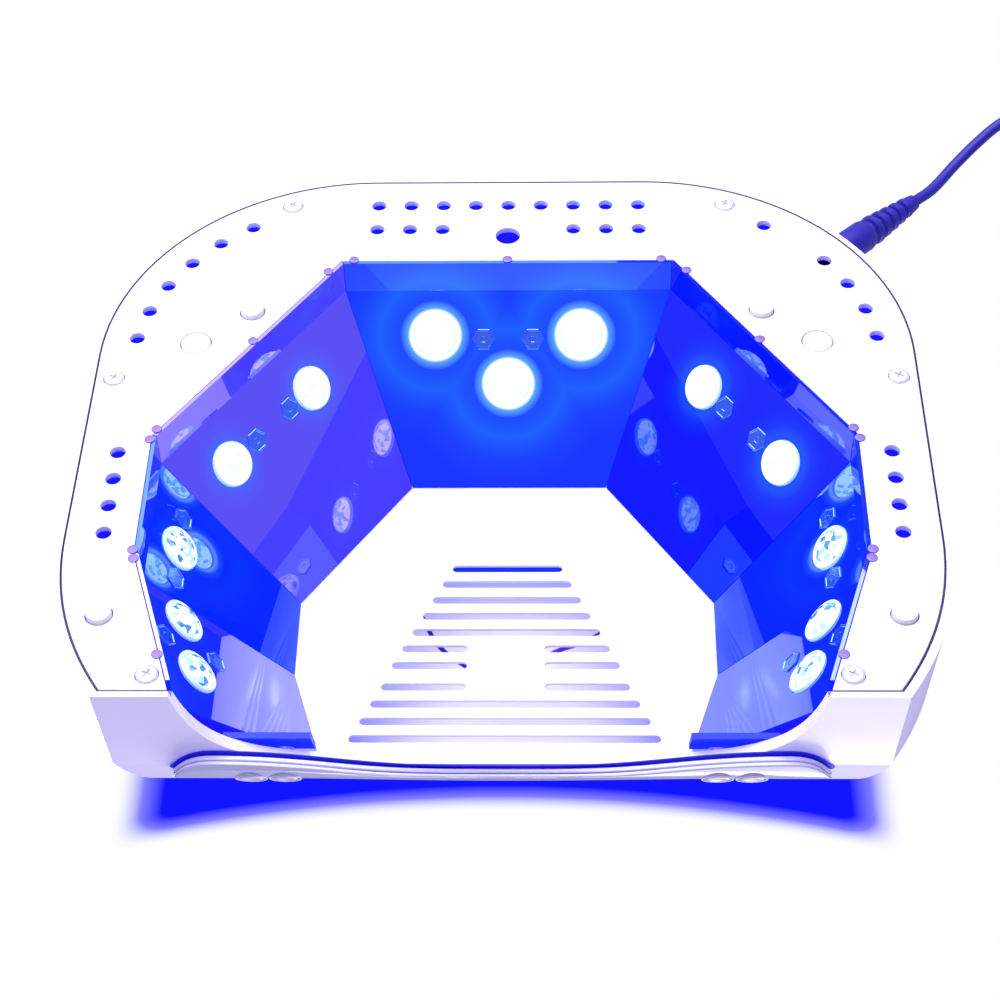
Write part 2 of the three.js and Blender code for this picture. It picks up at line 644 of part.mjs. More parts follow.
// ---- DC jack and the plug in it ----
part('dc_jack', turned([[0, innerFace - socketDepth], [6.5, innerFace - socketDepth], [6.5, innerFace - 2],
  [8, innerFace - 2], [8, innerFace], [jackBarrel, innerFace], [jackBarrel, caseFace],
  [0, caseFace]], 20), blackPlastic, jackFrame);
const plugStart = caseFace + fit;
const ridges = 4;
const plugProfile = [[0, plugStart], [plugDiameter / 2, plugStart],
  [plugDiameter / 2, plugStart + plugLength * 0.45]];
for (let i = 0; i < ridges; i += 1) {
  const z = plugStart + plugLength * (0.5 + 0.1 * i);
  const radius = plugDiameter / 2 - 0.35 * i;
  plugProfile.push([radius - 0.9, z], [radius - 0.9, z + 1.2], [radius, z + 1.4], [radius, z + 3.2]);
}
plugProfile.push([cordDiameter / 2 + 0.8, plugStart + plugLength], [0, plugStart + plugLength]);
part('dc_plug', turned(plugProfile, 16), cordRubber, jackFrame);

// ---- Cord: out of the plug, down to the table, a coil, then a short tail to the adapter ----
const plugEnd = new THREE.Vector3(0, 0, plugStart + plugLength).applyMatrix4(jackFrame.matrix);
const plugDirection = new THREE.Vector3(Math.cos(jackAngle), Math.sin(jackAngle), 0);
const cordRest = cordDiameter / 2 + 0.15; // the cord's middle, where it lies on the table
const coilMean = 19.25; // radius at the middle of the turns
const coilColumns = 4;
const coilLayers = 4;
const coilHalf = (coilColumns * cordDiameter) / 2 + 0.2;
const coilTop = coilLayers * cordDiameter + 0.5;
const adapterEntry = cordRest + 4.4; // height of the lead where it enters the adapter
const coilCentre = new THREE.Vector3(-212, 104, 0);

const at = (x, y, z) => new THREE.Vector3(x, y, z);
const runStart = plugEnd.clone().addScaledVector(plugDirection, fit);
part('cord_run', tube([
  runStart, runStart.clone().addScaledVector(plugDirection, 8), at(-142.6, 122.6, 11.2),
  at(-149.4, 128.2, 7.4), at(-156.6, 133.2, 4), at(-164.5, 137, cordRest + 0.3),
  at(-174, 139, cordRest), at(-184, 138.6, cordRest), at(-194, 135.8, cordRest),
  at(-202, 131.5, cordRest),
]), cordRubber);

const ring = (inner, outer, top) => [[inner, 0], [outer, 0], [outer, top], [inner, top], [inner, 0]]
  .map(([radius, z]) => new THREE.Vector2(radius, z));
part('cord_coil', new THREE.LatheGeometry(ring(coilMean - coilHalf, coilMean + coilHalf, coilTop), 24)
  .rotateX(Math.PI / 2), cordRubber).position.copy(coilCentre);

const adapterWidth = 44;
const adapterLength = 64;
const adapterHeight = 28;
const collarLength = 6;
const adapterPlace = at(-212, 22, 0);
part('cord_tail', tube([
  at(-221.5, 76.6, 9.6), at(-217, 71, 7.9), at(-213.8, 66, 6.8), at(-212.2, 62.6, adapterEntry),
  at(-212, 60.4, adapterEntry),
]), cordRubber);

// ---- Power adapter, lying on its side ----
function adapterBody() {
  const shape = new THREE.Shape();
  const [x, y, r] = [adapterWidth / 2, adapterLength / 2, 5];
  shape.moveTo(-x + r, -y);
  for (const [cx, cy, start] of [[x - r, -y + r, -90], [x - r, y - r, 0], [-x + r, y - r, 90],
    [-x + r, -y + r, 180]]) {
    const from = THREE.MathUtils.degToRad(start);
    shape.absarc(cx, cy, r, from, from + Math.PI / 2);
  }
  const collar = new THREE.CylinderGeometry(3, 4.5, collarLength + 0.5, 12)
    .translate(0, (adapterLength + collarLength - 0.5) / 2, adapterEntry);
  const recess = block(24, 3, 14, 0, -adapterLength / 2 + 1, adapterHeight / 2);
  return shaped(slab(shape, 0, adapterHeight, 3), [collar], [recess]);
}
part('adapter_body', adapterBody(), cordRubber).position.copy(adapterPlace);
function adapterBlades() {
  const base = block(23, 2, 13);
  const blades = [-6.35, 6.35].map((x) => block(1.5, 17, 6.3, x, -8.5, 0));
  return shaped(base, blades);
}
part('adapter_blades', adapterBlades(), steel).position.set(
  adapterPlace.x, adapterPlace.y - adapterLength / 2 + 1.2, adapterHeight / 2);

export default lamp;
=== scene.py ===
"""A UV LED nail lamp, dressed round its frame: case, base plate, mirrors, lenses, panel and lead."""

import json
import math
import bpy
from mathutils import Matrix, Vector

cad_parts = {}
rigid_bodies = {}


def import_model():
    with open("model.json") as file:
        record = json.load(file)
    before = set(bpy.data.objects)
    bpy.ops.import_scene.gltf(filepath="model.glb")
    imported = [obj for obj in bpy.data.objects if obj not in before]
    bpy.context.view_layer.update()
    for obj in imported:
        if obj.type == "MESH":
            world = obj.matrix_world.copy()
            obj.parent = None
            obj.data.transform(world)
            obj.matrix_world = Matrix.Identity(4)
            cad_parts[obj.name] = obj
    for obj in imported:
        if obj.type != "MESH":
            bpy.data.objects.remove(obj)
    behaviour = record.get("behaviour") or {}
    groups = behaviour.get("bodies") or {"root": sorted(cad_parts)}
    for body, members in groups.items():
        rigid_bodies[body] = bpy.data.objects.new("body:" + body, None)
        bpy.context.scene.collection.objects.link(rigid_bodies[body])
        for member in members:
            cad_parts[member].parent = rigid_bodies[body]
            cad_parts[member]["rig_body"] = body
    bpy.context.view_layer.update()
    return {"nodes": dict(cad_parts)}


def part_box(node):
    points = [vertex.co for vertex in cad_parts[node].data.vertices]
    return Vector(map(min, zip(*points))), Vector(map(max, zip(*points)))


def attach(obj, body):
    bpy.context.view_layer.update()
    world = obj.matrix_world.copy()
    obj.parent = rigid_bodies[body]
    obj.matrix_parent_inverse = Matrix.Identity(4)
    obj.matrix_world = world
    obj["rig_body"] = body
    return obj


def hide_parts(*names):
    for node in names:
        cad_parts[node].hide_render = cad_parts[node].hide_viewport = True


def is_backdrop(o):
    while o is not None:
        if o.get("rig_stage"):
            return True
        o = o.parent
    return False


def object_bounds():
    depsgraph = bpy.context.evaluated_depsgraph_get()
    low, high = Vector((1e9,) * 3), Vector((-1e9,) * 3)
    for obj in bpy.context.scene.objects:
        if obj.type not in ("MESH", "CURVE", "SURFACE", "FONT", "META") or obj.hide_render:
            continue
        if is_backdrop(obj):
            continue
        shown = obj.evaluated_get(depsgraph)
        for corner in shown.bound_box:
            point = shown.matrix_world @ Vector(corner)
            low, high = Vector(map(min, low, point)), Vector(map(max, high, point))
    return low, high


bl_info = {
    "name": "Nail Lamp",
    "version": (1, 0, 0),
    "blender": (4, 5, 0),
    "location": "3D View > Sidebar > Nail Lamp",
    "description": "Builds the visible pieces and finishes of a UV LED nail lamp",
    "category": "Object",
}

import bmesh
import bpy
from bpy.props import FloatProperty, FloatVectorProperty, IntProperty, PointerProperty
from mathutils import Matrix, Vector

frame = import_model()

CASE_LOW, CASE_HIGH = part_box("case_shell")
PLATE_LOW, PLATE_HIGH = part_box("bottom_plate")
# The reflectors in order round the opening.
REFLECTORS = [
    "front_right",
    "side_right",
    "diagonal_right",
    "rear",
    "diagonal_left",
    "side_left",
    "front_left",
]
LENSES = sorted(n for n in frame["nodes"] if n.startswith("led_") and "board" not in n)
BOARDS = sorted(n for n in frame["nodes"] if n.startswith("led_board"))
SCREWS = sorted(n for n in frame["nodes"] if n.endswith("screw") or "_screw_" in n)
FEET = sorted(n for n in frame["nodes"] if n.startswith("foot_"))
MAGNETS = sorted(n for n in frame["nodes"] if n.startswith("base_magnet"))

JACK_TURN = math.radians(137)  # where the jack sits round the rear corner
FIT = 0.0003  # the gap between two pieces that meet
STEM_HOLE = 0.0025  # radius of a button stem's hole in the case
JACK_HOLE = 0.0058
JACK_CUT = 0.010  # how far the jack's hole runs to either side of the skin
ADAPTER_DEPTH = 0.064
BLADES_HEIGHT = 0.014

VENT_ROWS = (0.0129, 0.0241)  # back wall to each rear row of vents
VENT_CORNER = 0.0117  # the case's skin to the vents round a corner
VENT_SIDE = 0.0123  # side wall to the vents along it
VENT_SIDE_START = 0.1182  # back wall to the first of those
SCREW_SEAT, CENTRE_SEAT, FOOT_SEAT, MAGNET_SEAT = 0.0032, 0.0037, 0.00378, 0.00465  # radii

SLOT_ROWS = 11
SPLIT_ROWS = range(5, 8)
SLOT_EXTRA_ROW, SLOT_EXTRA = 6, 0.0017  # the row with a wider gap after it

PANEL_TAPER = 0.5  # how much thinner the panel gets over its height
PANEL_RAISED = 0.0022  # how far the panel is moved up its face
BUTTON_SHARE = 0.36  # the buttons' share of the panel's height, before it is moved
BUTTON_PLACE = 0.0215  # the panel's end to its outer button
BEND_START = 0.004  # where the panel starts to bend, up its face
BEND_RUN = 0.007
BEND_LOW, BEND_TURN = -25, 30.5  # degrees: below the bend, and over it
BEND_ANCHOR = 0.0085  # the height on the face that stays in place
BEND_BELOW = 0.010  # how far below the face the bend is worked out
BEND_STEP = 0.00025
BEND_STEPS = 300


# ---------------------------------------------------------------- sizes and colours


def length(name, default, description):
    """One size in metres."""
    return FloatProperty(
        name=name, description=description, default=default, unit="LENGTH", precision=4
    )


def colour(name, default, description):
    """One linear colour."""
    return FloatVectorProperty(
        name=name, description=description, default=default, subtype="COLOR", min=0, max=1
    )


class LampSizes(bpy.types.PropertyGroup):
    """Sizes of the pieces, in metres."""

    corner: length("Rear corner", 0.079, "Radius of the case's rear corners in plan")
    edge_half: length("Front edge", 0.104, "Middle of the lamp to a front corner")
    corner_run: length("Front corner run", 0.052, "How far back a front corner's curve reaches")
    corner_bulge: length("Front corner bulge", 0.010, "How full that curve is")
    fold: length("Fold", 0.030, "Rim to where the front wall leans back")
    draft: length("Draft", 0.0015, "How much the walls close in up to the fold")
    crown_inset: length("Crown", 0.060, "The dome's run in from the side walls")
    front_inset: length("Front crown", 0.042, "The dome's run in from the leaning front")
    wall: length("Wall", 0.0025, "Thickness of the case")
    lip: length("Lip", 0.0035, "Thickness of the front wall")
    arch_half: length("Arch half width", 0.084, "Middle to the foot of the hand arch")
    arch_rise: length("Arch rise", 0.032, "Rim to the top of the hand arch")
    rim: length("Rim", 0.002, "Width of the rim round the base plate")
    vent: length("Vent", 0.0044, "Diameter of a base vent")
    vent_pitch: length("Vent pitch", 0.010, "Distance between vents in a row")
    slot: length("Slot", 0.0026, "Width of a ceiling slot")
    slot_pitch: length("Slot pitch", 0.00615, "Distance between ceiling slots")
    slot_first: length("First slot", 0.0165, "Half length of the rear slot")
    slot_growth: length("Slot growth", 0.00276, "How much longer each next slot is at an end")
    slot_start: length("Slot start", 0.033, "Ceiling's rear edge to the first slot")
    slot_blank: length("Slot blank", 0.0112, "Half of the blank that splits the middle slots")
    opening_gap: length("Opening gap", 0.0223, "Case side to the opening's shoulders")
    opening_front: length("Opening front", 0.0206, "Front corner to the opening's front end")
    opening_rear: length("Opening rear", 0.0495, "Half length of the opening's rear edge")
    opening_back: length("Opening back", 0.0398, "Back wall to the opening's rear edge")
    shoulder: length("Shoulder", 0.112, "Back wall to the opening's shoulders")
    hip: length("Hip", 0.1555, "Back wall to the opening's hips")
    collar: length("Collar", 0.011, "Height of the reflectors' upright collar")
    cavity: length("Cavity", 0.060, "Rim to the ceiling")
    cavity_lean: length("Cavity lean", 0.0365, "How far the reflectors close in on their way up")
    lens: length("Lens", 0.0132, "Diameter of an LED lens")
    hex_width: length("Hex", 0.0062, "Across the flats of a hexagonal fixing")
    panel_low: length("Panel edge", 0.0235, "Rim to the lower edge of the control panel")
    panel_height: length("Panel height", 0.023, "Height of the control panel's face")
    panel_arch: length("Panel arch", 0.0083, "How much the panel rises in the middle")
    panel_depth: length("Panel depth", 0.004, "Thickness of the control panel")
    panel_half: length("Panel half width", 0.0875, "Middle to the panel's end")
    button: length("Button", 0.0069, "Diameter of a button")
    button_pitch: length("Button pitch", 0.009, "Distance between two buttons")
    button_height: length("Button height", 0.0105, "Panel's lower edge to the buttons")
    jack_height: length("Jack height", 0.012, "Rim to the jack's axis")
    plug: length("Plug", 0.010, "Diameter of the lead's plug")
    plug_length: length("Plug length", 0.040, "Length of the lead's plug")
    cord: length("Cord", 0.0035, "Diameter of the lead")
    coil: length("Coil", 0.01925, "Radius at the middle of the coil's turns")
    jack_angle: FloatProperty(
        name="Jack angle",
        description="Where the jack sits round the rear corner",
        default=JACK_TURN,
        subtype="ANGLE",
    )
    lean: FloatProperty(
        name="Lean",
        description="How far the front leans back",
        default=math.radians(25),
        subtype="ANGLE",
    )


class LampFinish(bpy.types.PropertyGroup):
    """Colours of the finishes, some of them painted light and shade."""

    case: colour("Case", (0.80, 0.78, 0.93), "White moulded case")
    plate: colour("Plate", (0.93, 0.92, 0.98), "White base and ceiling plates")
    # Painted shade: the deep blue glow inside the case, seen through the vents and slots.
    shadow: colour("Deep blue", (0.012, 0.008, 0.62), "Light leaking through the vents")
    # Painted light: the blue glow on the fixings and the halos round the lenses on the reflectors.
    glow: colour("Glow", (0.006, 0.10, 1.0), "Blue light on the reflectors")
    halo: colour("Halo", (0.010, 0.17, 1.0), "Bright light round a lens")
    cord: colour("Cord", (0.014, 0.006, 0.42), "Lead and plug in blue light")


# ---------------------------------------------------------------- shapes


def sizes():
    """The sizes in use."""
    return bpy.context.scene.nail_lamp_sizes


def finish():
    """The colours in use."""
    return bpy.context.scene.nail_lamp_finish


def smooth_mesh(mesh, angle=math.radians(35)):
    """Rounded shading that breaks at edges sharper than the angle."""
    mesh.polygons.foreach_set("use_smooth", [True] * len(mesh.polygons))
    mesh.set_sharp_from_angle(angle=angle)
    return mesh


def put(name, mesh, material, body="lamp", stands_for=()):
    """Adds a piece that rides on a body and may stand for CAD nodes."""
    piece = bpy.data.objects.new(name, mesh)
    bpy.context.scene.collection.objects.link(piece)
    if material is not None:
        mesh.materials.append(material)
    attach(piece, body)
    if stands_for:
        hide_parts(*stands_for)
    return piece


def mesh_of(name, build, place=Matrix()):
    """A mesh filled by build(bm), then placed."""
    bm = bmesh.new()
    build(bm)
    bmesh.ops.transform(bm, matrix=place, verts=bm.verts)
    bmesh.ops.recalc_face_normals(bm, faces=bm.faces)
    mesh = bpy.data.meshes.new(name)
    bm.to_mesh(mesh)
    bm.free()
    return mesh


def around(radius, height, count, start=0.0):
    """Points round the Z axis at a height, moved round by a share of a step."""
    turn = [2 * math.pi * (i + start) / count for i in range(count)]
    return [(radius * math.cos(a), radius * math.sin(a), height) for a in turn]


def joined(bm, rings):
    """Fills the space between each ring of vertices and the next."""
    for low, high in zip(rings, rings[1:]):
        for i, vertex in enumerate(low):
            j = (i + 1) % len(low)
            bm.faces.new((vertex, low[j], high[j], high[i]))


def skin(bm, rings):
    """Joins closed rings of points into a skin, with its two ends filled."""
    made = [[bm.verts.new(p) for p in ring] for ring in rings]
    joined(bm, made)
    bm.faces.new(list(reversed(made[0])))
    bm.faces.new(made[-1])


def turned(name, profile, place, segments):
    """A turned solid; profile points are (radius, height) from axis to axis."""

    def build(bm):
        first = bm.verts.new((0, 0, profile[0][1]))
        last = bm.verts.new((0, 0, profile[-1][1]))
        rings = [[bm.verts.new(p) for p in around(r, z, segments)] for r, z in profile[1:-1]]
        joined(bm, rings)
        for i in range(segments):
            j = (i + 1) % segments
            bm.faces.new((first, rings[0][j], rings[0][i]))
            bm.faces.new((last, rings[-1][i], rings[-1][j]))

    return smooth_mesh(mesh_of(name, build, place))


def band(name, profile, place, segments):
    """A turned ring; its profile closes on itself and keeps off the axis."""

    def build(bm):
        rings = [[bm.verts.new(p) for p in around(r, z, segments)] for r, z in profile]
        joined(bm, rings + rings[:1])

    return smooth_mesh(mesh_of(name, build, place))


def put_turned(name, profile, place, material, body="lamp", stands_for=(), segments=48):
    """Adds a turned piece."""
    put(name, turned(name, profile, place, segments), material, body, stands_for)


def rounded(radius, low, high, soft, steps=4):
    """The profile of a disc with softened edges."""
    points = [(0, low)]
    for i in range(steps + 1):
        a = math.pi / 2 * i / steps
        points.append((radius - soft + soft * math.sin(a), low + soft - soft * math.cos(a)))
    for i in range(steps + 1):
        a = math.pi / 2 * i / steps
        points.append((radius - soft + soft * math.cos(a), high - soft + soft * math.sin(a)))
    points.append((0, high))
    return points


def sheet(name, outline, holes, bottom, thickness, soft):
    """A flat sheet with holes and softened edges, level at the given height."""
    flat = bpy.data.curves.new(name, "CURVE")
    flat.dimensions = "2D"
    flat.fill_mode = "BOTH"
    flat.extrude = thickness / 2 - soft
    flat.bevel_depth = soft
    flat.bevel_resolution = 2
    flat.offset = -soft
    for loop in [outline, *holes]:
        spline = flat.splines.new("POLY")
        spline.points.add(len(loop) - 1)
        for point, (x, y) in zip(spline.points, loop):
            point.co = (x, y, 0, 1)
        spline.use_cyclic_u = True
    holder = bpy.data.objects.new(name, flat)
    mesh = bpy.data.meshes.new_from_object(holder)
    mesh.name = name
    bpy.data.objects.remove(holder)
    mesh.transform(Matrix.Translation((0, 0, bottom + thickness / 2)))
    bm = bmesh.new()
    bm.from_mesh(mesh)
    bmesh.ops.remove_doubles(bm, verts=bm.verts, dist=1e-6)
    bm.to_mesh(mesh)
    bm.free()
    return smooth_mesh(mesh, math.radians(50))


def circle(x, y, radius, steps=28):
    """Points round a circle."""
    return [(x + px, y + py) for px, py, z in around(radius, 0, steps)]


def stadium(left, right, y, radius, steps=8):
    """Points round a slot with round ends."""
    half = [math.pi * i / steps - math.pi / 2 for i in range(steps + 1)]
    ends = [(right - radius + radius * math.cos(a), y + radius * math.sin(a)) for a in half]
    return ends + [(left + radius - radius * math.cos(a), y - radius * math.sin(a)) for a in half]


def bezier(points, steps):
    """Points along a cubic, without its last one."""
    a, b, c, d = [Vector(p) for p in points]
    found = []
    for i in range(steps):
        t = i / steps
        s = 1 - t
        found.append(a * s**3 + b * 3 * s * s * t + c * 3 * s * t * t + d * t**3)
    return found


def case_outline(side, front, rear, steps=14):
    """The case in plan, moved inwards at its sides, front and rear."""
    s = sizes()
    half = CASE_HIGH.x - side
    y_front = CASE_LOW.y + front
    edge = s.edge_half - side
    cx, cy = CASE_HIGH.x - s.corner, CASE_HIGH.y - s.corner
    run = s.corner_run
    right = bezier(
        [
            (edge, y_front),
            (edge + s.corner_bulge, y_front + 0.28 * run),
            (half, y_front + 0.6 * run),
            (half, y_front + run),
        ],
        steps,
    )
    right.append(Vector((half, y_front + run)))
    for i in range(2 * steps + 1):
        a = math.pi / 2 * i / (2 * steps)
        right.append(
            Vector((cx + (s.corner - side) * math.cos(a), cy + (s.corner - rear) * math.sin(a)))
        )
    return right + [Vector((-p.x, p.y)) for p in reversed(right)]


def clamped(share):
    """A share kept between none and all."""
    return min(1, max(0, share))


def round_over(height, start, top, run):
    """How far a round-over has closed in at a height."""
    share = clamped((height - start) / (top - start))
    return run * (1 - math.sqrt(1 - share * share))


def front_inset(height, top, thickness):
    """How far the front has closed in at a height over the rim."""
    s = sizes()
    drafted = s.draft * clamped(height / s.fold)
    leaned = max(0, height - s.fold) * math.tan(s.lean)
    return drafted + thickness + leaned + round_over(
        height, s.panel_low + s.panel_height, top, s.front_inset
    )


def dome_rings(inside, levels=22):
    """Rings of the case's outer skin, or of the space inside it."""
    s = sizes()
    top = CASE_HIGH.z - CASE_LOW.z - (s.wall if inside else 0)
    heights = [-0.001 if inside else 0, s.fold * 0.5, s.fold]
    for i in range(1, levels + 1):
        heights.append(s.fold + (top - s.fold) * math.sin(math.pi / 2 * i / levels))
    rings = []
    for height in heights:
        drafted = s.draft * clamped(height / s.fold)
        side = drafted + (s.wall if inside else 0) + round_over(height, s.fold, top, s.crown_inset)
        front = front_inset(height, top, s.lip if inside else 0)
        z = CASE_LOW.z + height
        rings.append([(p.x, p.y, z) for p in case_outline(side, front, side)])
    return rings


def cut(mesh, cutters):
    """Takes the cutters' solids out of a mesh."""
    body = bpy.data.objects.new("body", mesh)
    bpy.context.scene.collection.objects.link(body)
    tools = []
    for cutter in cutters:
        tool = bpy.data.objects.new("tool", cutter)
        bpy.context.scene.collection.objects.link(tool)
        change = body.modifiers.new("cut", "BOOLEAN")
        change.object = tool
        change.solver = "EXACT"
        tools.append(tool)
    graph = bpy.context.evaluated_depsgraph_get()
    result = bpy.data.meshes.new_from_object(body.evaluated_get(graph))
    for extra in [body, *tools]:
        bpy.data.objects.remove(extra)
    return result


def bevelled(mesh, width, segments, angle):
    """The mesh with its sharp edges softened."""
    body = bpy.data.objects.new("body", mesh)
    bpy.context.scene.collection.objects.link(body)
    change = body.modifiers.new("bevel", "BEVEL")
    change.width = width
    change.segments = segments
    change.limit_method = "ANGLE"
    change.angle_limit = angle
    graph = bpy.context.evaluated_depsgraph_get()
    result = bpy.data.meshes.new_from_object(body.evaluated_get(graph))
    bpy.data.objects.remove(body)
    return smooth_mesh(result)


def extruded(name, points, start, end, place=Matrix()):
    """A closed outline drawn in X and Y, extruded along Z, then placed."""

    def build(bm):
        skin(bm, [[(x, y, z) for x, y in points] for z in (start, end)])

    return mesh_of(name, build, place)


def tube(name, points, radius, resolution):
    """A round curve through the points."""
    line = bpy.data.curves.new(name, "CURVE")
    line.dimensions = "3D"
    line.bevel_depth = radius
    line.bevel_resolution = resolution
    line.use_fill_caps = True
    spline = line.splines.new("POLY")
    spline.points.add(len(points) - 1)
    for point, co in zip(spline.points, points):
        point.co = (*co, 1)
    spline.use_smooth = True
    return line


def flowing(points, step=0.0025):
    """Points close together on a smooth curve through the given ones."""
    ends = [points[0] * 2 - points[1], *points, points[-1] * 2 - points[-2]]
    found = [points[0]]
    for a, b, c, d in zip(ends, ends[1:], ends[2:], ends[3:]):
        ta = (b - a).length ** 0.5
        tb = ta + (c - b).length ** 0.5
        tc = tb + (d - c).length ** 0.5
        count = max(1, round((c - b).length / step))
        for i in range(1, count + 1):
            t = ta + (tb - ta) * i / count
            ab = a.lerp(b, t / ta)
            bc = b.lerp(c, (t - ta) / (tb - ta))
            cd = c.lerp(d, (t - tb) / (tc - tb))
            abc = ab.lerp(bc, t / tb)
            bcd = bc.lerp(cd, (t - ta) / (tc - ta))
            found.append(abc.lerp(bcd, (t - ta) / (tb - ta)))
    return found


def standing(at, axis):
    """A placement at a point with Z along the axis and X level."""
    z = axis.normalized()
    x = Vector((0, 0, 1)).cross(z)
    x = x.normalized() if x.length > 1e-4 else Vector((1, 0, 0))
    y = z.cross(x)
    return Matrix.Translation(at) @ Matrix((x, y, z)).transposed().to_4x4()


def box_middle(node):
    """Middle of a CAD node's box."""
    low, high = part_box(node)
    return (low + high) / 2


def over(node, height):
    """A placement at a height over the middle of a CAD node."""
    at = box_middle(node)
    return Matrix.Translation((at.x, at.y, height))


def opening(inset, front):
    """Corners of the hand opening moved inwards, from its right front end round the back."""
    s = sizes()
    half = CASE_HIGH.x - s.opening_gap
    rear = CASE_HIGH.y
    right = [
        Vector((s.edge_half - s.opening_front, CASE_LOW.y + s.lip)),
        Vector((half - 0.0003, rear - s.hip)),
        Vector((half, rear - s.shoulder)),
        Vector((s.opening_rear, rear - s.opening_back)),
    ]
    corners = right + [Vector((-c.x, c.y)) for c in reversed(right)]
    lines = []
    for a, b in zip(corners, corners[1:]):
        along = (b - a).normalized()
        lines.append((a + Vector((-along.y, along.x)) * inset, along))

    def crossing(one, other):
        gap = other[0] - one[0]
        return one[0] + one[1] * (gap.cross(other[1]) / one[1].cross(other[1]))

    limit = (Vector((0, front)), Vector((1, 0)))
    found = [crossing(lines[0], limit)]
    found += [crossing(a, b) for a, b in zip(lines, lines[1:])]
    return found + [crossing(lines[-1], limit)]


def opening_side(index):
    """Both ends of one side of the opening, at the foot of its reflector."""
    s = sizes()
    low = opening(0, CASE_LOW.y + s.lip + s.draft + FIT)
    return low[index], low[index + 1]


def face_frame(index, along, height):
    """A placement on a reflector: X along it, Z out of it, at a height over the rim."""
    s = sizes()
    a, b = opening_side(index)
    unit = (b - a).normalized()
    inward = Vector((-unit.y, unit.x))
    slant = math.atan2(s.cavity_lean, s.cavity - s.collar)
    at = (a + b) / 2 + unit * along + inward * (height - s.collar) * math.tan(slant)
    z = Vector((inward.x * math.cos(slant), inward.y * math.cos(slant), -math.sin(slant)))
    x = Vector((unit.x, unit.y, 0))
    axes = Matrix((x, z.cross(x), z)).transposed().to_4x4()
    return Matrix.Translation((at.x, at.y, CASE_LOW.z + height)) @ axes


def panel_frame():
    """The control panel's placement: X across, Y up its face, Z out of it."""
    s = sizes()
    down = (s.fold - s.panel_low) * math.tan(s.lean)
    at = Vector((
        0,
        CASE_LOW.y + s.draft - down - FIT * math.cos(s.lean),
        CASE_LOW.z + s.panel_low + FIT * math.sin(s.lean),
    ))
    return Matrix.Translation(at) @ Matrix.Rotation(math.pi / 2 - s.lean, 4, "X")


def panel_outline(inset):
    """The panel's arched outline, moved inwards."""
    s = sizes()
    straight = s.panel_half - s.panel_height / 2
    radius = s.panel_height / 2 - inset

    def swell(x):
        return s.panel_arch * 0.5 * (1 + math.cos(math.pi * min(1, abs(x) / straight)))

    count = 48
    across = [-straight + 2 * straight * i / count for i in range(count + 1)]
    lower = [(x, swell(x) + inset) for x in across]
    upper = [(x, y + 2 * radius) for x, y in reversed(lower)]
    turn = [-math.pi / 2 + math.pi * i / 20 for i in range(1, 20)]
    middle = s.panel_height / 2
    right = [(straight + radius * math.cos(a), middle + radius * math.sin(a)) for a in turn]
    left = [(-x, y) for x, y in reversed(right)]
    return lower + right + upper + left


def bent(mesh):
    """Thins a flat layer of the panel upwards, bends it round the wall's fold and lifts it."""
    panel_height = sizes().panel_height
    bm = bmesh.new()
    bm.from_mesh(mesh)
    for vertex in bm.verts:
        vertex.co.z *= 1 - PANEL_TAPER * clamped(vertex.co.y / panel_height)
    for i in range(2, 27):
        bmesh.ops.bisect_plane(
            bm,
            geom=[*bm.verts, *bm.edges, *bm.faces],
            plane_co=(0, 0.001 * i, 0),
            plane_no=(0, 1, 0),
        )
    angles = []
    for i in range(BEND_STEPS):
        share = clamped((BEND_STEP * i - BEND_BELOW - BEND_START) / BEND_RUN)
        share = share * share * (3 - 2 * share)
        angles.append(math.radians(BEND_LOW + BEND_TURN * share))
    spots = [Vector((0, 0))]
    for a in angles:
        spots.append(spots[-1] + Vector((math.cos(a), -math.sin(a))) * BEND_STEP)
    anchor = spots[round((BEND_ANCHOR + BEND_BELOW) / BEND_STEP)]
    for vertex in bm.verts:
        y = vertex.co.y + PANEL_RAISED
        place = min(BEND_STEPS - 1, max(0, (y + BEND_BELOW) / BEND_STEP))
        low = int(place)
        spot = spots[low].lerp(spots[low + 1], place - low) - anchor + Vector((BEND_ANCHOR, 0))
        a = angles[low]
        vertex.co.y = spot.x + math.sin(a) * vertex.co.z
        vertex.co.z = spot.y + math.cos(a) * vertex.co.z
    bm.to_mesh(mesh)
    bm.free()
    return mesh


def jack_frame():
    """The jack's placement: Z along its axis, out through the case."""
    s = sizes()
    at = Vector((-(CASE_HIGH.x - s.corner), CASE_HIGH.y - s.corner, CASE_LOW.z + s.jack_height))
    axis = Vector((math.cos(s.jack_angle), math.sin(s.jack_angle), 0))
    return standing(at, axis)


def jack_face():
    """How far from the corner's centre the case's skin is at the jack's height."""
    s = sizes()
    return s.corner - s.draft * s.jack_height / s.fold


def rounded_box(width, depth, radius, steps=6):
    """Outline of a rectangle with round corners."""
    x, y = width / 2 - radius, depth / 2 - radius
    found = []
    for cx, cy, start in ((x, -y, -90), (x, y, 0), (-x, y, 90), (-x, -y, 180)):
        for i in range(steps + 1):
            a = math.radians(start + 90 * i / steps)
            found.append((cx + radius * math.cos(a), cy + radius * math.sin(a)))
    return found


# ---------------------------------------------------------------- finishes


def material(name, base, roughness, metallic=0.0):
    """A named material with its shader ready, and its node tree."""
    made = bpy.data.materials.new(name)
    made.use_nodes = True
    shader = made.node_tree.nodes["Principled BSDF"]
    shader.inputs["Base Color"].default_value = (*base, 1)
    shader.inputs["Roughness"].default_value = roughness
    shader.inputs["Metallic"].default_value = metallic
    return made, made.node_tree, shader


def add(tree, kind, **values):
    """Adds a node, with attributes or inputs set by name."""
    node = tree.nodes.new(kind)
    for key, value in values.items():
        if hasattr(node, key):
            setattr(node, key, value)
        else:
            node.inputs[key.replace("_", " ")].default_value = value
    return node


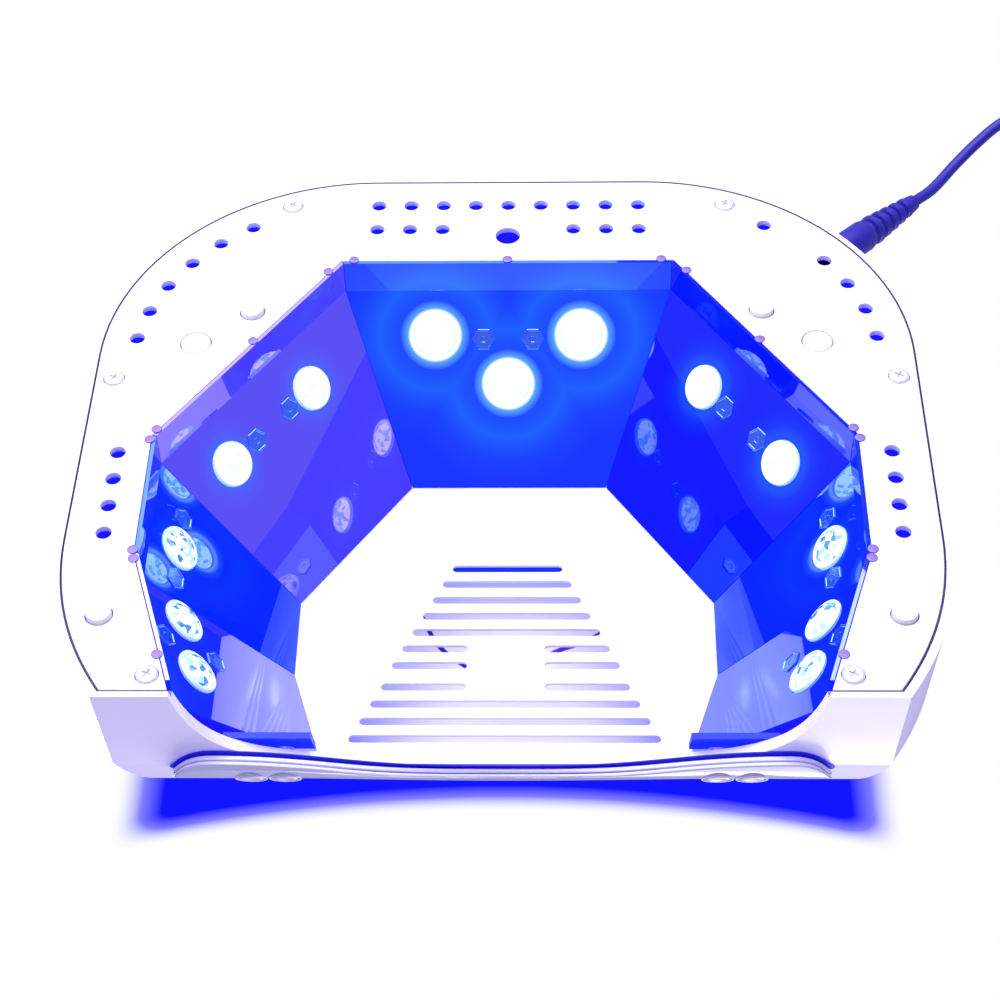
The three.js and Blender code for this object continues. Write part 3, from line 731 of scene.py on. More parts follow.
def lit(made, tint, strength):
    """Lets a finish glow a little in one colour; on the lamp's own parts this is painted light."""
    shader = made.node_tree.nodes["Principled BSDF"]
    shader.inputs["Emission Color"].default_value = (*tint, 1)
    shader.inputs["Emission Strength"].default_value = strength


def located(tree, socket):
    """Feeds a socket with places fixed to the piece."""
    place = add(tree, "ShaderNodeTexCoord")
    tree.links.new(place.outputs["Object"], socket)


def grain(tree, scale, detail=3.0):
    """Fine noise fixed to the piece."""
    noise = add(tree, "ShaderNodeTexNoise", Scale=scale, Detail=detail)
    located(tree, noise.inputs["Vector"])
    return noise


def ramp(tree, source, stops, *sockets):
    """Drives sockets with colours read off a scale; stops are {position: colour}."""
    node = add(tree, "ShaderNodeValToRGB")
    scale = node.color_ramp.elements
    places = sorted(stops)
    scale[0].position, scale[1].position = places[0], places[-1]
    for position in places[1:-1]:
        scale.new(position)
    for element, position in zip(scale, places):
        element.color = (*stops[position], 1)
    tree.links.new(source, node.inputs["Fac"])
    for socket in sockets:
        tree.links.new(node.outputs["Color"], socket)
    return node


def vary(tree, source, low, high, socket):
    """Drives a socket with a ramp between two values or colours."""
    low, high = [(v, v, v) if isinstance(v, float) else v for v in (low, high)]
    ramp(tree, source, {0.3: low, 0.7: high}, socket)


def mixed(tree, factor, first, second, out):
    """Shows the first surface or the second, by the factor."""
    mix = add(tree, "ShaderNodeMixShader")
    for source, socket in zip((factor, first, second), mix.inputs):
        tree.links.new(source, socket)
    tree.links.new(mix.outputs["Shader"], out.inputs["Surface"])


def bump(tree, shader, source, strength, distance):
    """Raises the surface a little by the source."""
    node = add(tree, "ShaderNodeBump", Strength=strength, Distance=distance)
    tree.links.new(source, node.inputs["Height"])
    tree.links.new(node.outputs["Normal"], shader.inputs["Normal"])


def moulded(name, base, roughness, coat, texture=900.0, relief=0.00002):
    """Moulded plastic: a soft colour drift, uneven gloss and a very fine texture."""
    made, tree, shader = material(name, base, roughness)
    shader.inputs["Coat Weight"].default_value = coat
    shader.inputs["Coat Roughness"].default_value = 0.08
    drift = grain(tree, 14.0)
    darker = tuple(c * 0.965 for c in base)
    vary(tree, drift.outputs["Fac"], darker, base, shader.inputs["Base Color"])
    vary(tree, drift.outputs["Fac"], roughness * 0.8, roughness * 1.25, shader.inputs["Roughness"])
    fine = grain(tree, texture)
    bump(tree, shader, fine.outputs["Fac"], 0.25, relief)
    return made


def plated(name, base):
    """Satin plating, bright from every side."""
    made, tree, shader = material(name, base, 0.42, 0.45)
    marks = grain(tree, 1500.0, 2.0)
    vary(tree, marks.outputs["Fac"], 0.36, 0.5, shader.inputs["Roughness"])
    bump(tree, shader, marks.outputs["Fac"], 0.1, 0.00001)
    return made


def rubber(name, base, roughness):
    """Flexible PVC or silicone with a matte, slightly mottled skin."""
    made, tree, shader = material(name, base, roughness)
    shader.inputs["Sheen Weight"].default_value = 0.15
    fine = grain(tree, 2400.0)
    darker = tuple(c * 0.8 for c in base)
    vary(tree, fine.outputs["Fac"], darker, base, shader.inputs["Base Color"])
    bump(tree, shader, fine.outputs["Fac"], 0.3, 0.00003)
    return made


def interior(name):
    """The inside of the case, glowing with painted light: deep blue painted shade near the walls and
    pale over the ceiling.
    """
    f = finish()
    made, tree, shader = material(name, f.shadow, 0.5)
    scale = add(tree, "ShaderNodeMapping", Location=(0, 0.02, -0.085), Scale=(1, 1, 1.6))
    located(tree, scale.inputs["Vector"])
    reach = add(tree, "ShaderNodeVectorMath", operation="LENGTH")
    tree.links.new(scale.outputs["Vector"], reach.inputs[0])
    # Painted shade and light: deep blue towards the walls, pale towards the middle, fed to the glow as
    # well.
    ramp(tree, reach.outputs["Value"], {0.050: (0.66, 0.62, 1.0), 0.082: f.shadow},
         shader.inputs["Base Color"], shader.inputs["Emission Color"])
    shader.inputs["Emission Strength"].default_value = 0.8
    return made


def mirror(name, tint, glow, lamps, reach, strength):
    """Polished sheet with painted blue light, and a painted halo and highlight round each lens on it.
    """
    made, tree, shader = material(name, tint, 0.05, 1.0)
    painted_halo = None
    for at in lamps:
        away = add(tree, "ShaderNodeVectorMath", operation="DISTANCE")
        away.inputs[1].default_value = at
        located(tree, away.inputs[0])
        falloff = add(tree, "ShaderNodeMapRange", interpolation_type="SMOOTHERSTEP",
                      From_Min=0.0, From_Max=reach, To_Min=1.0, To_Max=0.0)
        tree.links.new(away.outputs["Value"], falloff.inputs["Value"])
        if painted_halo is None:
            painted_halo = falloff.outputs["Result"]
        else:
            brighter = add(tree, "ShaderNodeMath", operation="MAXIMUM")
            tree.links.new(painted_halo, brighter.inputs[0])
            tree.links.new(falloff.outputs["Result"], brighter.inputs[1])
            painted_halo = brighter.outputs["Value"]
    azure = finish().halo
    # Painted highlight right at each lens, and painted halos of blue light fading out from it.
    stops = {0.0: glow, 0.925: (0.10, 0.36, 1.0), 0.955: (1.6, 1.8, 2.0)}
    for position, share in ((0.30, 0.15), (0.60, 0.55), (0.86, 0.25)):
        stops[position] = tuple((1 - share) * a + share * b for a, b in zip(glow, azure))
    ramp(tree, painted_halo, stops, shader.inputs["Emission Color"])
    shader.inputs["Emission Strength"].default_value = strength
    polish = grain(tree, 60.0)
    vary(tree, polish.outputs["Fac"], 0.008, 0.02, shader.inputs["Roughness"])
    return made


def lens_glass(name, strength):
    """Cut clear plastic over a lit LED: white cells with a few blue ones between."""
    made, tree, shader = material(name, (0.10, 0.30, 0.95), 0.08)
    shader.inputs["Coat Weight"].default_value = 1.0
    cells = add(tree, "ShaderNodeTexVoronoi", Scale=620.0)
    located(tree, cells.inputs["Vector"])
    pick = add(tree, "ShaderNodeSeparateColor")
    tree.links.new(cells.outputs["Color"], pick.inputs["Color"])
    gap = (0.004, 0.06, 0.75) if strength < 2 else (0.3, 0.55, 1)
    scale = ramp(tree, pick.outputs["Red"], {0.0: gap, 0.24: (0.38, 0.66, 1), 0.42: (1, 1, 1)},
                 shader.inputs["Emission Color"])
    scale.color_ramp.interpolation = "CONSTANT"
    shader.inputs["Emission Strength"].default_value = strength
    return made


def board_finish(name, base):
    """Printed circuit board with faint tracks under its mask."""
    made, tree, shader = material(name, base, 0.45)
    tracks = add(tree, "ShaderNodeTexBrick", Scale=160.0)
    located(tree, tracks.inputs["Vector"])
    darker = tuple(c * 0.75 for c in base)
    vary(tree, tracks.outputs["Fac"], base, darker, shader.inputs["Base Color"])
    return made


def dress(node, made):
    """Gives a carried-over CAD node its finish."""
    target = frame["nodes"][node]
    target.data.materials.clear()
    target.data.materials.append(made)


def shared(name, make):
    """The named material, made once."""
    return bpy.data.materials.get(name) or make(name)


def cord_finish():
    """The lead's dark blue PVC."""
    return shared("cord_pvc", lambda name: rubber(name, tuple(finish().cord), 0.45))


def nickel():
    """Bright plated steel."""
    return shared("nickel_plate", lambda name: plated(name, (0.90, 0.88, 0.97)))


# ---------------------------------------------------------------- operators


class LAMP_OT_camera(bpy.types.Operator):
    """Places the camera under the front of the lamp, looking into its base"""

    bl_idname = "nail_lamp.camera"
    bl_label = "Camera"

    distance: FloatProperty(name="Distance", default=0.62156, unit="LENGTH")
    rise: FloatProperty(name="Rise", default=math.radians(47.514), subtype="ANGLE")
    turn: FloatProperty(name="Turn", default=math.radians(-2.1467), subtype="ANGLE")
    roll: FloatProperty(name="Roll", default=math.radians(-1.6711), subtype="ANGLE")
    aside: FloatProperty(name="Aside", default=-0.00065, unit="LENGTH")
    lens: FloatProperty(name="Lens", default=82.08, description="Focal length in millimetres")

    def execute(self, context):
        """Builds the camera in a frame turned upside down with the lamp."""
        se, ce = math.sin(self.rise), math.cos(self.rise)
        spin = Matrix.Rotation(-self.turn, 3, "Z")
        flip = Matrix.Diagonal((-1, 1, -1))
        away = Vector((0, ce, -se))
        up = Vector((0, se, ce))
        right = Vector((1, 0, 0))
        place = Vector((self.aside, -self.distance * ce, self.distance * se))
        c, s = math.cos(self.roll), math.sin(self.roll)
        right, up = right * c + up * s, up * c - right * s
        axes = [flip @ (spin @ v) for v in (right, up, -away)]
        aim = Vector((0, CASE_HIGH.y - 0.1365, PLATE_LOW.z))
        data = bpy.data.cameras.new("camera")
        data.lens = self.lens
        data.sensor_width = 36
        data.clip_start = 0.01
        camera = bpy.data.objects.new("camera", data)
        context.scene.collection.objects.link(camera)
        turned_axes = Matrix(axes).transposed().to_4x4()
        camera.matrix_world = Matrix.Translation(flip @ (spin @ place) + aim) @ turned_axes
        context.scene.camera = camera
        return {"FINISHED"}


class LAMP_OT_lead(bpy.types.Operator):
    """Lays the lead from its plug, over the table, round its coil and into the adapter"""

    bl_idname = "nail_lamp.lead"
    bl_label = "Lead"

    turns: IntProperty(name="Turns in a layer", default=3)
    layers: IntProperty(name="Layers", default=4)
    last_steps: IntProperty(name="Steps in the last layer", default=54)

    def execute(self, context):
        """One curve for the whole lead, and a tie round its coil."""
        s = sizes()
        corner = Vector((-(CASE_HIGH.x - s.corner), CASE_HIGH.y - s.corner, 0))
        out = Vector((math.cos(JACK_TURN), math.sin(JACK_TURN), 0))
        face = s.corner - s.draft * 0.4
        plug_end = 0.0406  # from the case's skin
        start = corner + out * (face + plug_end) + Vector((0, 0, CASE_LOW.z + 0.012))
        rest = s.cord / 2 + 0.00015
        route = [
            start,
            start + out * 0.008,
            Vector((-0.1426, 0.1226, 0.0112)),
            Vector((-0.1494, 0.1282, 0.0074)),
            Vector((-0.1566, 0.1332, 0.0040)),
            Vector((-0.1645, 0.1370, rest + 0.0003)),
            Vector((-0.1740, 0.1390, rest)),
            Vector((-0.1840, 0.1386, rest)),
            Vector((-0.1940, 0.1358, rest)),
            Vector((-0.2020, 0.1315, rest)),
        ]
        centre = box_middle("cord_coil")
        route += self.coil(centre, rest, s)
        route += [
            Vector((-0.2268, 0.0830, 0.0116)),
            Vector((-0.2215, 0.0766, 0.0096)),
            Vector((-0.2170, 0.0710, 0.0079)),
            Vector((-0.2138, 0.0660, 0.0068)),
            Vector((-0.2122, 0.0626, 0.0063)),
            Vector((-0.2120, 0.0604, 0.0063)),
            Vector((-0.2120, 0.0500, 0.0063)),
        ]
        path = flowing(route)
        line = tube("lead", path, s.cord / 2, 5)
        piece = put("lead", line, cord_finish())
        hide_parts("cord_run", "cord_coil", "cord_tail")
        return {"FINISHED"}

    def coil(self, centre, rest, s):
        """Flat spirals one over another, first inwards, then outwards."""
        outer = s.coil + 1.5 * s.cord
        inner = s.coil - 1.5 * s.cord
        per_turn = 20
        points = []
        angle = math.radians(104)
        for layer in range(self.layers):
            height = rest + layer * s.cord
            steps = self.turns * per_turn if layer < self.layers - 1 else self.last_steps
            begin, end = (outer, inner) if layer % 2 == 0 else (inner, outer)
            for i in range(steps + 1):
                radius = begin + (end - begin) * i / steps
                points.append(self.spot(centre, radius, angle, height))
                angle += 2 * math.pi / per_turn
            if layer < self.layers - 1:
                for share in (0.25, 0.5, 0.75):
                    points.append(self.spot(centre, end, angle, height + s.cord * share))
                    angle += 2 * math.pi / per_turn
        return points

    @staticmethod
    def spot(centre, radius, angle, height):
        """A point on the coil."""
        return Vector(
            (centre.x + radius * math.cos(angle), centre.y + radius * math.sin(angle), height)
        )


class LAMP_OT_case(bpy.types.Operator):
    """Moulds the case: a domed shell with a hand arch, a seat for the plate and its openings"""

    bl_idname = "nail_lamp.case"
    bl_label = "Case"

    def execute(self, context):
        """Takes the inner space, the arch, the seat and the openings out of the dome."""
        s = sizes()
        outer = mesh_of("case_moulding", lambda bm: skin(bm, dome_rings(False)))
        space = mesh_of("case_space", lambda bm: skin(bm, dome_rings(True)))
        seat = extruded(
            "seat",
            [(p.x, p.y) for p in case_outline(s.rim - 0.0003, s.rim - 0.0003, s.rim - 0.0003)],
            -0.001,
            PLATE_HIGH.z + 0.0003,
        )
        half, rise = s.arch_half, s.arch_rise
        right = bezier([(half, 0), (half * 0.93, rise * 0.91), (half * 0.775, rise), (0, rise)], 24)
        arch = [(half, -0.004)] + [(p.x, p.y) for p in right] + [(0, rise)]
        arch += [(-p.x, p.y) for p in reversed(right)] + [(-half, -0.004)]
        front = Matrix.Translation((0, CASE_LOW.y + 0.012, CASE_LOW.z))
        mouth = extruded("mouth", arch, 0, 0.020, front @ Matrix.Rotation(math.pi / 2, 4, "X"))
        face = panel_frame()
        cutters = [space, seat, mouth]
        for x in self.button_places():
            cutters.append(
                extruded("stem", circle(x, s.button_height, STEM_HOLE), -0.012, 0.002, face)
            )
        cutters.append(
            extruded("jack_hole", circle(0, 0, JACK_HOLE, 40), jack_face() - JACK_CUT,
                     jack_face() + JACK_CUT, jack_frame())
        )
        # The case glows a little lavender: painted light on a part that is no lamp.
        shell_finish = moulded("case_plastic", tuple(finish().case), 0.3, 0.35)
        lit(shell_finish, (0.50, 0.44, 1.0), 0.30)
        inside = interior("case_inside")
        # The seat round the plate is painted shade: dark violet standing for the shadow in the gap
        # between plate and case.
        seat_shade = moulded("case_seat_shade", (0.20, 0.16, 0.42), 0.5, 0.0)
        for mesh in [outer, *cutters]:
            for made in (shell_finish, inside, seat_shade):
                mesh.materials.append(made)
        for mesh, index in ((space, 1), (seat, 2)):
            for face_ in mesh.polygons:
                face_.material_index = index
        shell = bevelled(cut(outer, cutters), 0.00035, 2, math.radians(50))
        shell.name = "case_moulding"
        put("case_moulding", shell, None, stands_for=["case_shell"])
        return {"FINISHED"}

    @staticmethod
    def button_places():
        """Where the buttons sit across the panel."""
        s = sizes()
        first = s.panel_half - BUTTON_PLACE
        return [-first, s.button_pitch - first, first - s.button_pitch, first]


class LAMP_OT_plates(bpy.types.Operator):
    """Cuts the base plate with its vents, and the slotted ceiling"""

    bl_idname = "nail_lamp.plates"
    bl_label = "Plates"

    def execute(self, context):
        """Two flat sheets with softened edges."""
        white = moulded("plate_plastic", tuple(finish().plate), 0.16, 0.25, 1400.0, 0.00001)
        base = sheet(
            "base_plate", self.plate_outline(), self.plate_holes(), PLATE_LOW.z,
            PLATE_HIGH.z - PLATE_LOW.z, 0.0002,
        )
        put("base_plate", base, white, stands_for=["bottom_plate"])
        low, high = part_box("ceiling_plate")
        top = sheet(
            "ceiling", self.ceiling_outline(low), self.slots(low), low.z, high.z - low.z, 0.00012
        )
        put("ceiling", top, white, stands_for=["ceiling_plate"])
        return {"FINISHED"}

    @staticmethod
    def plate_outline():
        """The case's outline with the hand opening taken out of its front."""
        s = sizes()
        edge = s.rim + 0.00025
        outside = [(p.x, p.y) for p in case_outline(edge, edge, edge, 20)]
        notch = opening(-0.0013, CASE_LOW.y + edge)
        return outside + [(p.x, p.y) for p in reversed(notch)]

    @staticmethod
    def plate_holes():
        """Vents, and the seats of screws, feet and magnets."""
        s = sizes()
        rear, half = CASE_HIGH.y, CASE_HIGH.x
        cx, cy = half - s.corner, rear - s.corner
        holes = []
        for i in range(-4, 5):
            for row in VENT_ROWS if abs(i) > 1 else VENT_ROWS[:1]:
                holes.append(circle(i * s.vent_pitch, rear - row, s.vent / 2))
        reach = s.corner - VENT_CORNER
        for side in (-1, 1):
            for i in range(6):
                angle = math.radians(6 + 10.1 * i)
                if side > 0 or i != 4:
                    x, y = cx + reach * math.cos(angle), cy + reach * math.sin(angle)
                    holes.append(circle(side * x, y, s.vent / 2))
            for i in range(4):
                x, y = side * (half - VENT_SIDE), rear - VENT_SIDE_START - i * s.vent_pitch
                holes.append(circle(x, y, s.vent / 2))
        for names, radius in ((SCREWS, SCREW_SEAT), (FEET, FOOT_SEAT), (MAGNETS, MAGNET_SEAT)):
            for name in names:
                at = box_middle(name)
                wide = CENTRE_SEAT if name == "centre_screw" else radius
                holes.append(circle(at.x, at.y, wide, 40))
        return holes

    @staticmethod
    def ceiling_outline(low):
        """The opening's outline where the ceiling rests on the reflectors."""
        s = sizes()
        return [(p.x, p.y) for p in opening(s.cavity_lean - 0.0012, low.y)]

    @staticmethod
    def slots(low):
        """Rows of slots, longer towards the front, the middle ones split by a blank."""
        s = sizes()
        y = opening(s.cavity_lean, low.y)[3].y - s.slot_start
        holes = []
        for row in range(SLOT_ROWS):
            half = s.slot_first + row * s.slot_growth
            spans = [(-half, half)]
            if row in SPLIT_ROWS:
                spans = [(-half, -s.slot_blank), (s.slot_blank, half)]
            holes += [stadium(left, right, y, s.slot / 2) for left, right in spans]
            y -= s.slot_pitch + (SLOT_EXTRA if row == SLOT_EXTRA_ROW else 0)
        return holes


class LAMP_OT_mirrors(bpy.types.Operator):
    """Polishes the reflectors, and adds their fixings and the tabs round the opening"""

    bl_idname = "nail_lamp.mirrors"
    bl_label = "Mirrors"

    def execute(self, context):
        """A finish for each reflector, hexagonal fixings between the lenses and edge tabs."""
        # Each reflector's tint, painted glow, halo reach and glow strength: the sides differ as
        # painted light and shade on one polished sheet.
        deep = (0.002, 0.006, 0.80)
        painted_light_looks = {
            "rear": ((0.03, 0.08, 0.95), (0.003, 0.016, 0.82), 0.038, 0.95),
            "diagonal_left": ((0.05, 0.08, 0.9), deep, 0.018, 0.75),
            "diagonal_right": ((0.16, 0.13, 0.8), (0.08, 0.06, 0.74), 0.017, 0.75),
            "side_left": ((0.06, 0.12, 0.95), (0.004, 0.03, 0.70), 0.012, 0.55),
            "side_right": ((0.06, 0.12, 0.95), (0.004, 0.03, 0.70), 0.012, 0.55),
            "front_left": ((0.16, 0.20, 0.9), (0.008, 0.04, 0.6), 0.012, 0.4),
            "front_right": ((0.34, 0.34, 0.92), (0.02, 0.04, 0.55), 0.012, 0.3),
        }
        for name, (tint, glow, reach, strength) in painted_light_looks.items():
            lamps = [lens_place(n).translation for n in LENSES if n.startswith(f"led_{name}_")]
            made = mirror(f"mirror_{name}", tint, glow, lamps, reach, strength)
            dress(f"reflector_{name}", made)
        a, b = opening_side(0)
        front = (b - a).length / 2 - 0.0185
        fixings = {
            "rear": [(-0.0075, 0.023), (0.0075, 0.023)],
            "diagonal_right": [(0.0028, 0.023), (-0.0130, 0.023)],
            "diagonal_left": [(-0.0028, 0.023), (0.0130, 0.023)],
            "side_right": [(0.0083, 0.020), (-0.0137, 0.020)],
            "side_left": [(-0.0083, 0.020), (0.0137, 0.020)],
            "front_right": [(front, 0.014), (front, 0.030)],
            "front_left": [(-front, 0.014), (-front, 0.030)],
        }
        # The fixings are tinted blue and glow: painted blue light on steel that is no lamp.
        steel, tree, shader = material("fixing_steel", (0.16, 0.30, 1.0), 0.12, 1.0)
        lit(steel, finish().glow, 0.35)
        marks = grain(tree, 900.0)
        vary(tree, marks.outputs["Fac"], 0.08, 0.2, shader.inputs["Roughness"])
        count = 0
        for name, spots in fixings.items():
            for along, height in spots:
                count += 1
                place = face_frame(REFLECTORS.index(name), along, height)
                self.fixing(f"hex_fixing_{count}", place, steel)
        self.tabs()
        return {"FINISHED"}

    @staticmethod
    def fixing(name, place, finish_):
        """A flat hexagonal head with a raised rim, just proud of the sheet."""
        s = sizes()
        outer = s.hex_width / math.sqrt(3)
        steps = [(1, 0.00002), (1, 0.0003), (0.94, 0.00042), (0.84, 0.00042), (0.78, 0.00022),
                 (0.3, 0.00022), (0.24, 0.00012)]
        rings = [around(outer * share, height, 6) for share, height in steps]
        head = mesh_of(name, lambda bm: skin(bm, rings), place)
        put(name, smooth_mesh(head, math.radians(20)), finish_)

    @staticmethod
    def tabs():
        """Small round tabs that hold the reflectors to the plate."""
        steel = shared("tab_steel", lambda name: plated(name, (0.24, 0.16, 0.55)))
        shares = {
            "rear": (0.04, 0.5, 0.96),
            "diagonal_right": (0.03, 0.52, 0.93),
            "diagonal_left": (0.07, 0.48, 0.97),
            "side_right": (0.03, 0.96),
            "side_left": (0.04, 0.97),
            "front_right": (0.22, 0.96),
            "front_left": (0.04, 0.78),
        }
        corners = opening(-0.0016, CASE_LOW.y + 0.004)
        count = 0
        for name, places in shares.items():
            index = REFLECTORS.index(name)
            a, b = corners[index], corners[index + 1]
            for share in places:
                count += 1
                at = a.lerp(b, share)
                profile = rounded(0.0015, -0.0003, 0.0, 0.00012)
                spot = Matrix.Translation((at.x, at.y, PLATE_LOW.z - 0.00002))
                put_turned(f"mirror_tab_{count}", profile, spot, steel,
                           segments=28)


def lens_place(node):
    """Where a lens stands on its reflector, Z out into the cavity."""
    mesh = frame["nodes"][node].data
    found = {}
    for face in mesh.polygons:
        key = tuple(round(c, 1) for c in face.normal)
        area, middle, normal = found.get(key, (0, Vector(), Vector()))
        found[key] = (area + face.area, middle + face.center * face.area, normal + face.normal)
    area, middle, normal = max(found.values(), key=lambda entry: entry[0])
    out = -normal.normalized()
    return standing(middle / area + out * 0.001, out)


class LAMP_OT_lenses(bpy.types.Operator):
    """Cuts the thirteen lenses and sets each in its rim"""

    bl_idname = "nail_lamp.lenses"
    bl_label = "Lenses"

    def execute(self, context):
        """A faceted lens and a rim for each LED."""
        s = sizes()
        strengths = {"rear": 4.0, "diagonal": 2.8, "side": 1.15, "front": 1.15}
        # The rims glow light blue: painted light from the lenses beside them.
        white = moulded("lens_rim_plastic", (0.75, 0.85, 1.0), 0.2, 0.3)
        lit(white, (0.35, 0.65, 1), 0.7)
        for node in LENSES:
            kind = node.split("_")[1]
            glass = shared(
                f"lens_glass_{kind}", lambda name, k=kind: lens_glass(name, strengths[k])
            )
            place = lens_place(node)
            radius = s.lens / 2
            cut_lens = self.lens(f"{node}_lens", place, radius)
            put(f"{node}_lens", cut_lens, glass, stands_for=[node])
            rim = self.rim(f"{node}_rim", place, radius)
            put(f"{node}_rim", rim, white)
        return {"FINISHED"}

    @staticmethod
    def lens(name, place, radius):
        """Rings of facets, each turned half a step from the one below."""
        count = 12
        levels = [(0.88, -0.0009), (0.88, 0.0004), (0.80, 0.0011), (0.62, 0.0019), (0.38, 0.0025),
                  (0.16, 0.0028)]

        def build(bm):
            rings = []
            for level, (share, height) in enumerate(levels):
                points = around(radius * share, height, count, 0.5 * max(0, level - 1))
                rings.append([bm.verts.new(p) for p in points])
            joined(bm, rings[:2])
            for low, high in zip(rings[1:], rings[2:]):
                for i in range(count):
                    j = (i + 1) % count
                    bm.faces.new((low[i], low[j], high[i]))
                    bm.faces.new((low[j], high[j], high[i]))
            bm.faces.new(list(reversed(rings[0])))
            bm.faces.new(rings[-1])

        return mesh_of(name, build, place)

    @staticmethod
    def rim(name, place, radius):
        """A rounded ring round the lens."""
        profile = [(radius * 0.88, -0.0009), (radius, -0.0009), (radius, 0.0004),
                   (radius * 0.985, 0.0007), (radius * 0.94, 0.0009), (radius * 0.90, 0.0008),
                   (radius * 0.88, 0.0005)]
        return band(name, profile, place, 48)


class LAMP_OT_fixings(bpy.types.Operator):
    """Turns the cross-recess screws, the feet and the magnets"""

    bl_idname = "nail_lamp.fixings"
    bl_label = "Fixings"

    def execute(self, context):
        """Each goes where its solid is."""
        for node in SCREWS:
            head = self.screw(node, over(node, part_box(node)[0].z))
            put(f"{node}_head", head, nickel(), stands_for=[node])
        soft = shared("foot_silicone", lambda name: rubber(name, (0.82, 0.80, 0.93), 0.5))
        for node in FEET:
            low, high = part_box(node)
            radius = (high.x - low.x) / 2
            profile = [(0, 0.0005), (radius * 0.5, 0.0004), (radius * 0.8, 0.0001),
                       (radius * 0.88, low.z), (radius * 0.95, low.z + 0.0001),
                       (radius, low.z + 0.0006), (radius, high.z), (0, high.z)]
            put_turned(f"{node}_pad", profile, over(node, 0), soft,
                       stands_for=[node])
        discs = shared("magnet_nickel", lambda name: plated(name, (0.93, 0.92, 0.99)))
        for node in MAGNETS:
            low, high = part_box(node)
            profile = rounded((high.x - low.x) / 2, low.z, high.z, 0.0004)
            put_turned(f"{node}_disc", profile, over(node, 0), discs,
                       stands_for=[node])
        return {"FINISHED"}

    @staticmethod
    def screw(node, place):
        """A pan head with a cross recess, its underside flat on the plate."""
        profile = [(0, 0.0), (0.0016, 0.00002), (0.0023, 0.00008), (0.0027, 0.00025),
                   (0.00292, 0.0006), (0.00295, 0.0019), (0.0015, 0.0019), (0.0015, 0.012),
                   (0, 0.012)]
        head = turned(node, profile, Matrix(), 40)
        arm, width = 0.00175, 0.00042
        cross = [(width, -arm), (width, -width), (arm, -width), (arm, width), (width, width),
                 (width, arm), (-width, arm), (-width, width), (-arm, width), (-arm, -width),
                 (-width, -width), (-width, -arm)]

        def build(bm):
            low = [(x, y, -0.001) for x, y in cross]
            high = [(x * 0.62, y * 0.62, 0.0014) for x, y in cross]
            skin(bm, [low, high])
            bmesh.ops.rotate(bm, verts=bm.verts, matrix=Matrix.Rotation(0.5, 3, "Z"))

        made = cut(head, [mesh_of("cross", build)])
        made.transform(place)
        return smooth_mesh(made)


class LAMP_OT_controls(bpy.types.Operator):
    """Builds the control panel, its buttons and their rings"""

    bl_idname = "nail_lamp.controls"
    bl_label = "Controls"

    def execute(self, context):
        """A two-step fascia on the leaning front, with moving caps."""
        s = sizes()
        face = panel_frame()
        white = moulded("panel_plastic", (0.68, 0.66, 0.98), 0.18, 0.6, 1200.0)
        places = LAMP_OT_case.button_places()
        hole = s.button / 2 + 0.0008
        holes = [circle(x, s.button_height - PANEL_RAISED, hole, 48) for x in places]
        # Layers: name, inset, lowest height, thickness, softening, kind. The layer a little wider than
        # the panel and the seam line are painted shade: deep blue that glows, for the shadow round the
        # panel's edge and in its groove.
        steps = [
            ("panel_shadow_gap", -0.0007, 0.0, 0.0004, 0.0001, "gap_shade"),
            ("panel_base", 0.0, 0.0010, 0.0015, 0.0004, "panel"),
            ("panel_seam", 0.0006, 0.0024, 0.0004, 0.0001, "gap_shade"),
            ("panel_face", 0.0002, 0.0026, 0.0014, 0.0005, "panel"),
        ]
        # Painted shade that glows deep blue.
        dark = moulded("panel_painted_shade", (0.01, 0.01, 0.40), 0.6, 0.0)
        lit(dark, (0.0, 0.0, 0.6), 0.5)
        for name, inset, low, depth, soft, kind in steps:
            layer = bent(sheet(name, panel_outline(inset), holes, low, depth, soft))
            layer.transform(face)
            put(name, smooth_mesh(layer), white if kind == "panel" else dark,
                stands_for=["control_panel"] if name == "panel_base" else ())
        ring_metal = shared("button_ring", lambda name: plated(name, (0.80, 0.78, 0.98)))
        caps = moulded("button_plastic", (0.72, 0.70, 0.95), 0.3, 0.3)
        for i, x in enumerate(places):
            node = f"button_{i + 1}"
            spot = face @ Matrix.Translation((x, s.button_height, 0))
            radius = s.button / 2
            profile = [(0, -0.0047), (0.0022, -0.0047), (0.0022, 0.0008), (radius, 0.0008),
                       (radius, 0.0033), (radius - 0.0002, 0.0036), (radius - 0.0007, 0.0038),
                       (radius - 0.0013, 0.00375), (radius * 0.45, 0.0035), (0, 0.0034)]
            put_turned(f"{node}_cap", profile, spot, caps,
                       frame["nodes"][node]["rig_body"], [node])
            self.ring(f"button_ring_{i + 1}", spot, radius + 0.0003, ring_metal)
        return {"FINISHED"}

    @staticmethod
    def ring(name, place, inner, finish_):
        """A fine raised ring round a button."""
        s = sizes()
        top = s.panel_depth * (1 - PANEL_TAPER * BUTTON_SHARE)
        profile = [(inner, top - 0.0012), (inner + 0.0007, top - 0.0012), (inner + 0.0007, top),
                   (inner + 0.0005, top + 0.0003), (inner + 0.0002, top + 0.0003), (inner, top)]
        put(name, band(name, profile, place, 56), finish_)


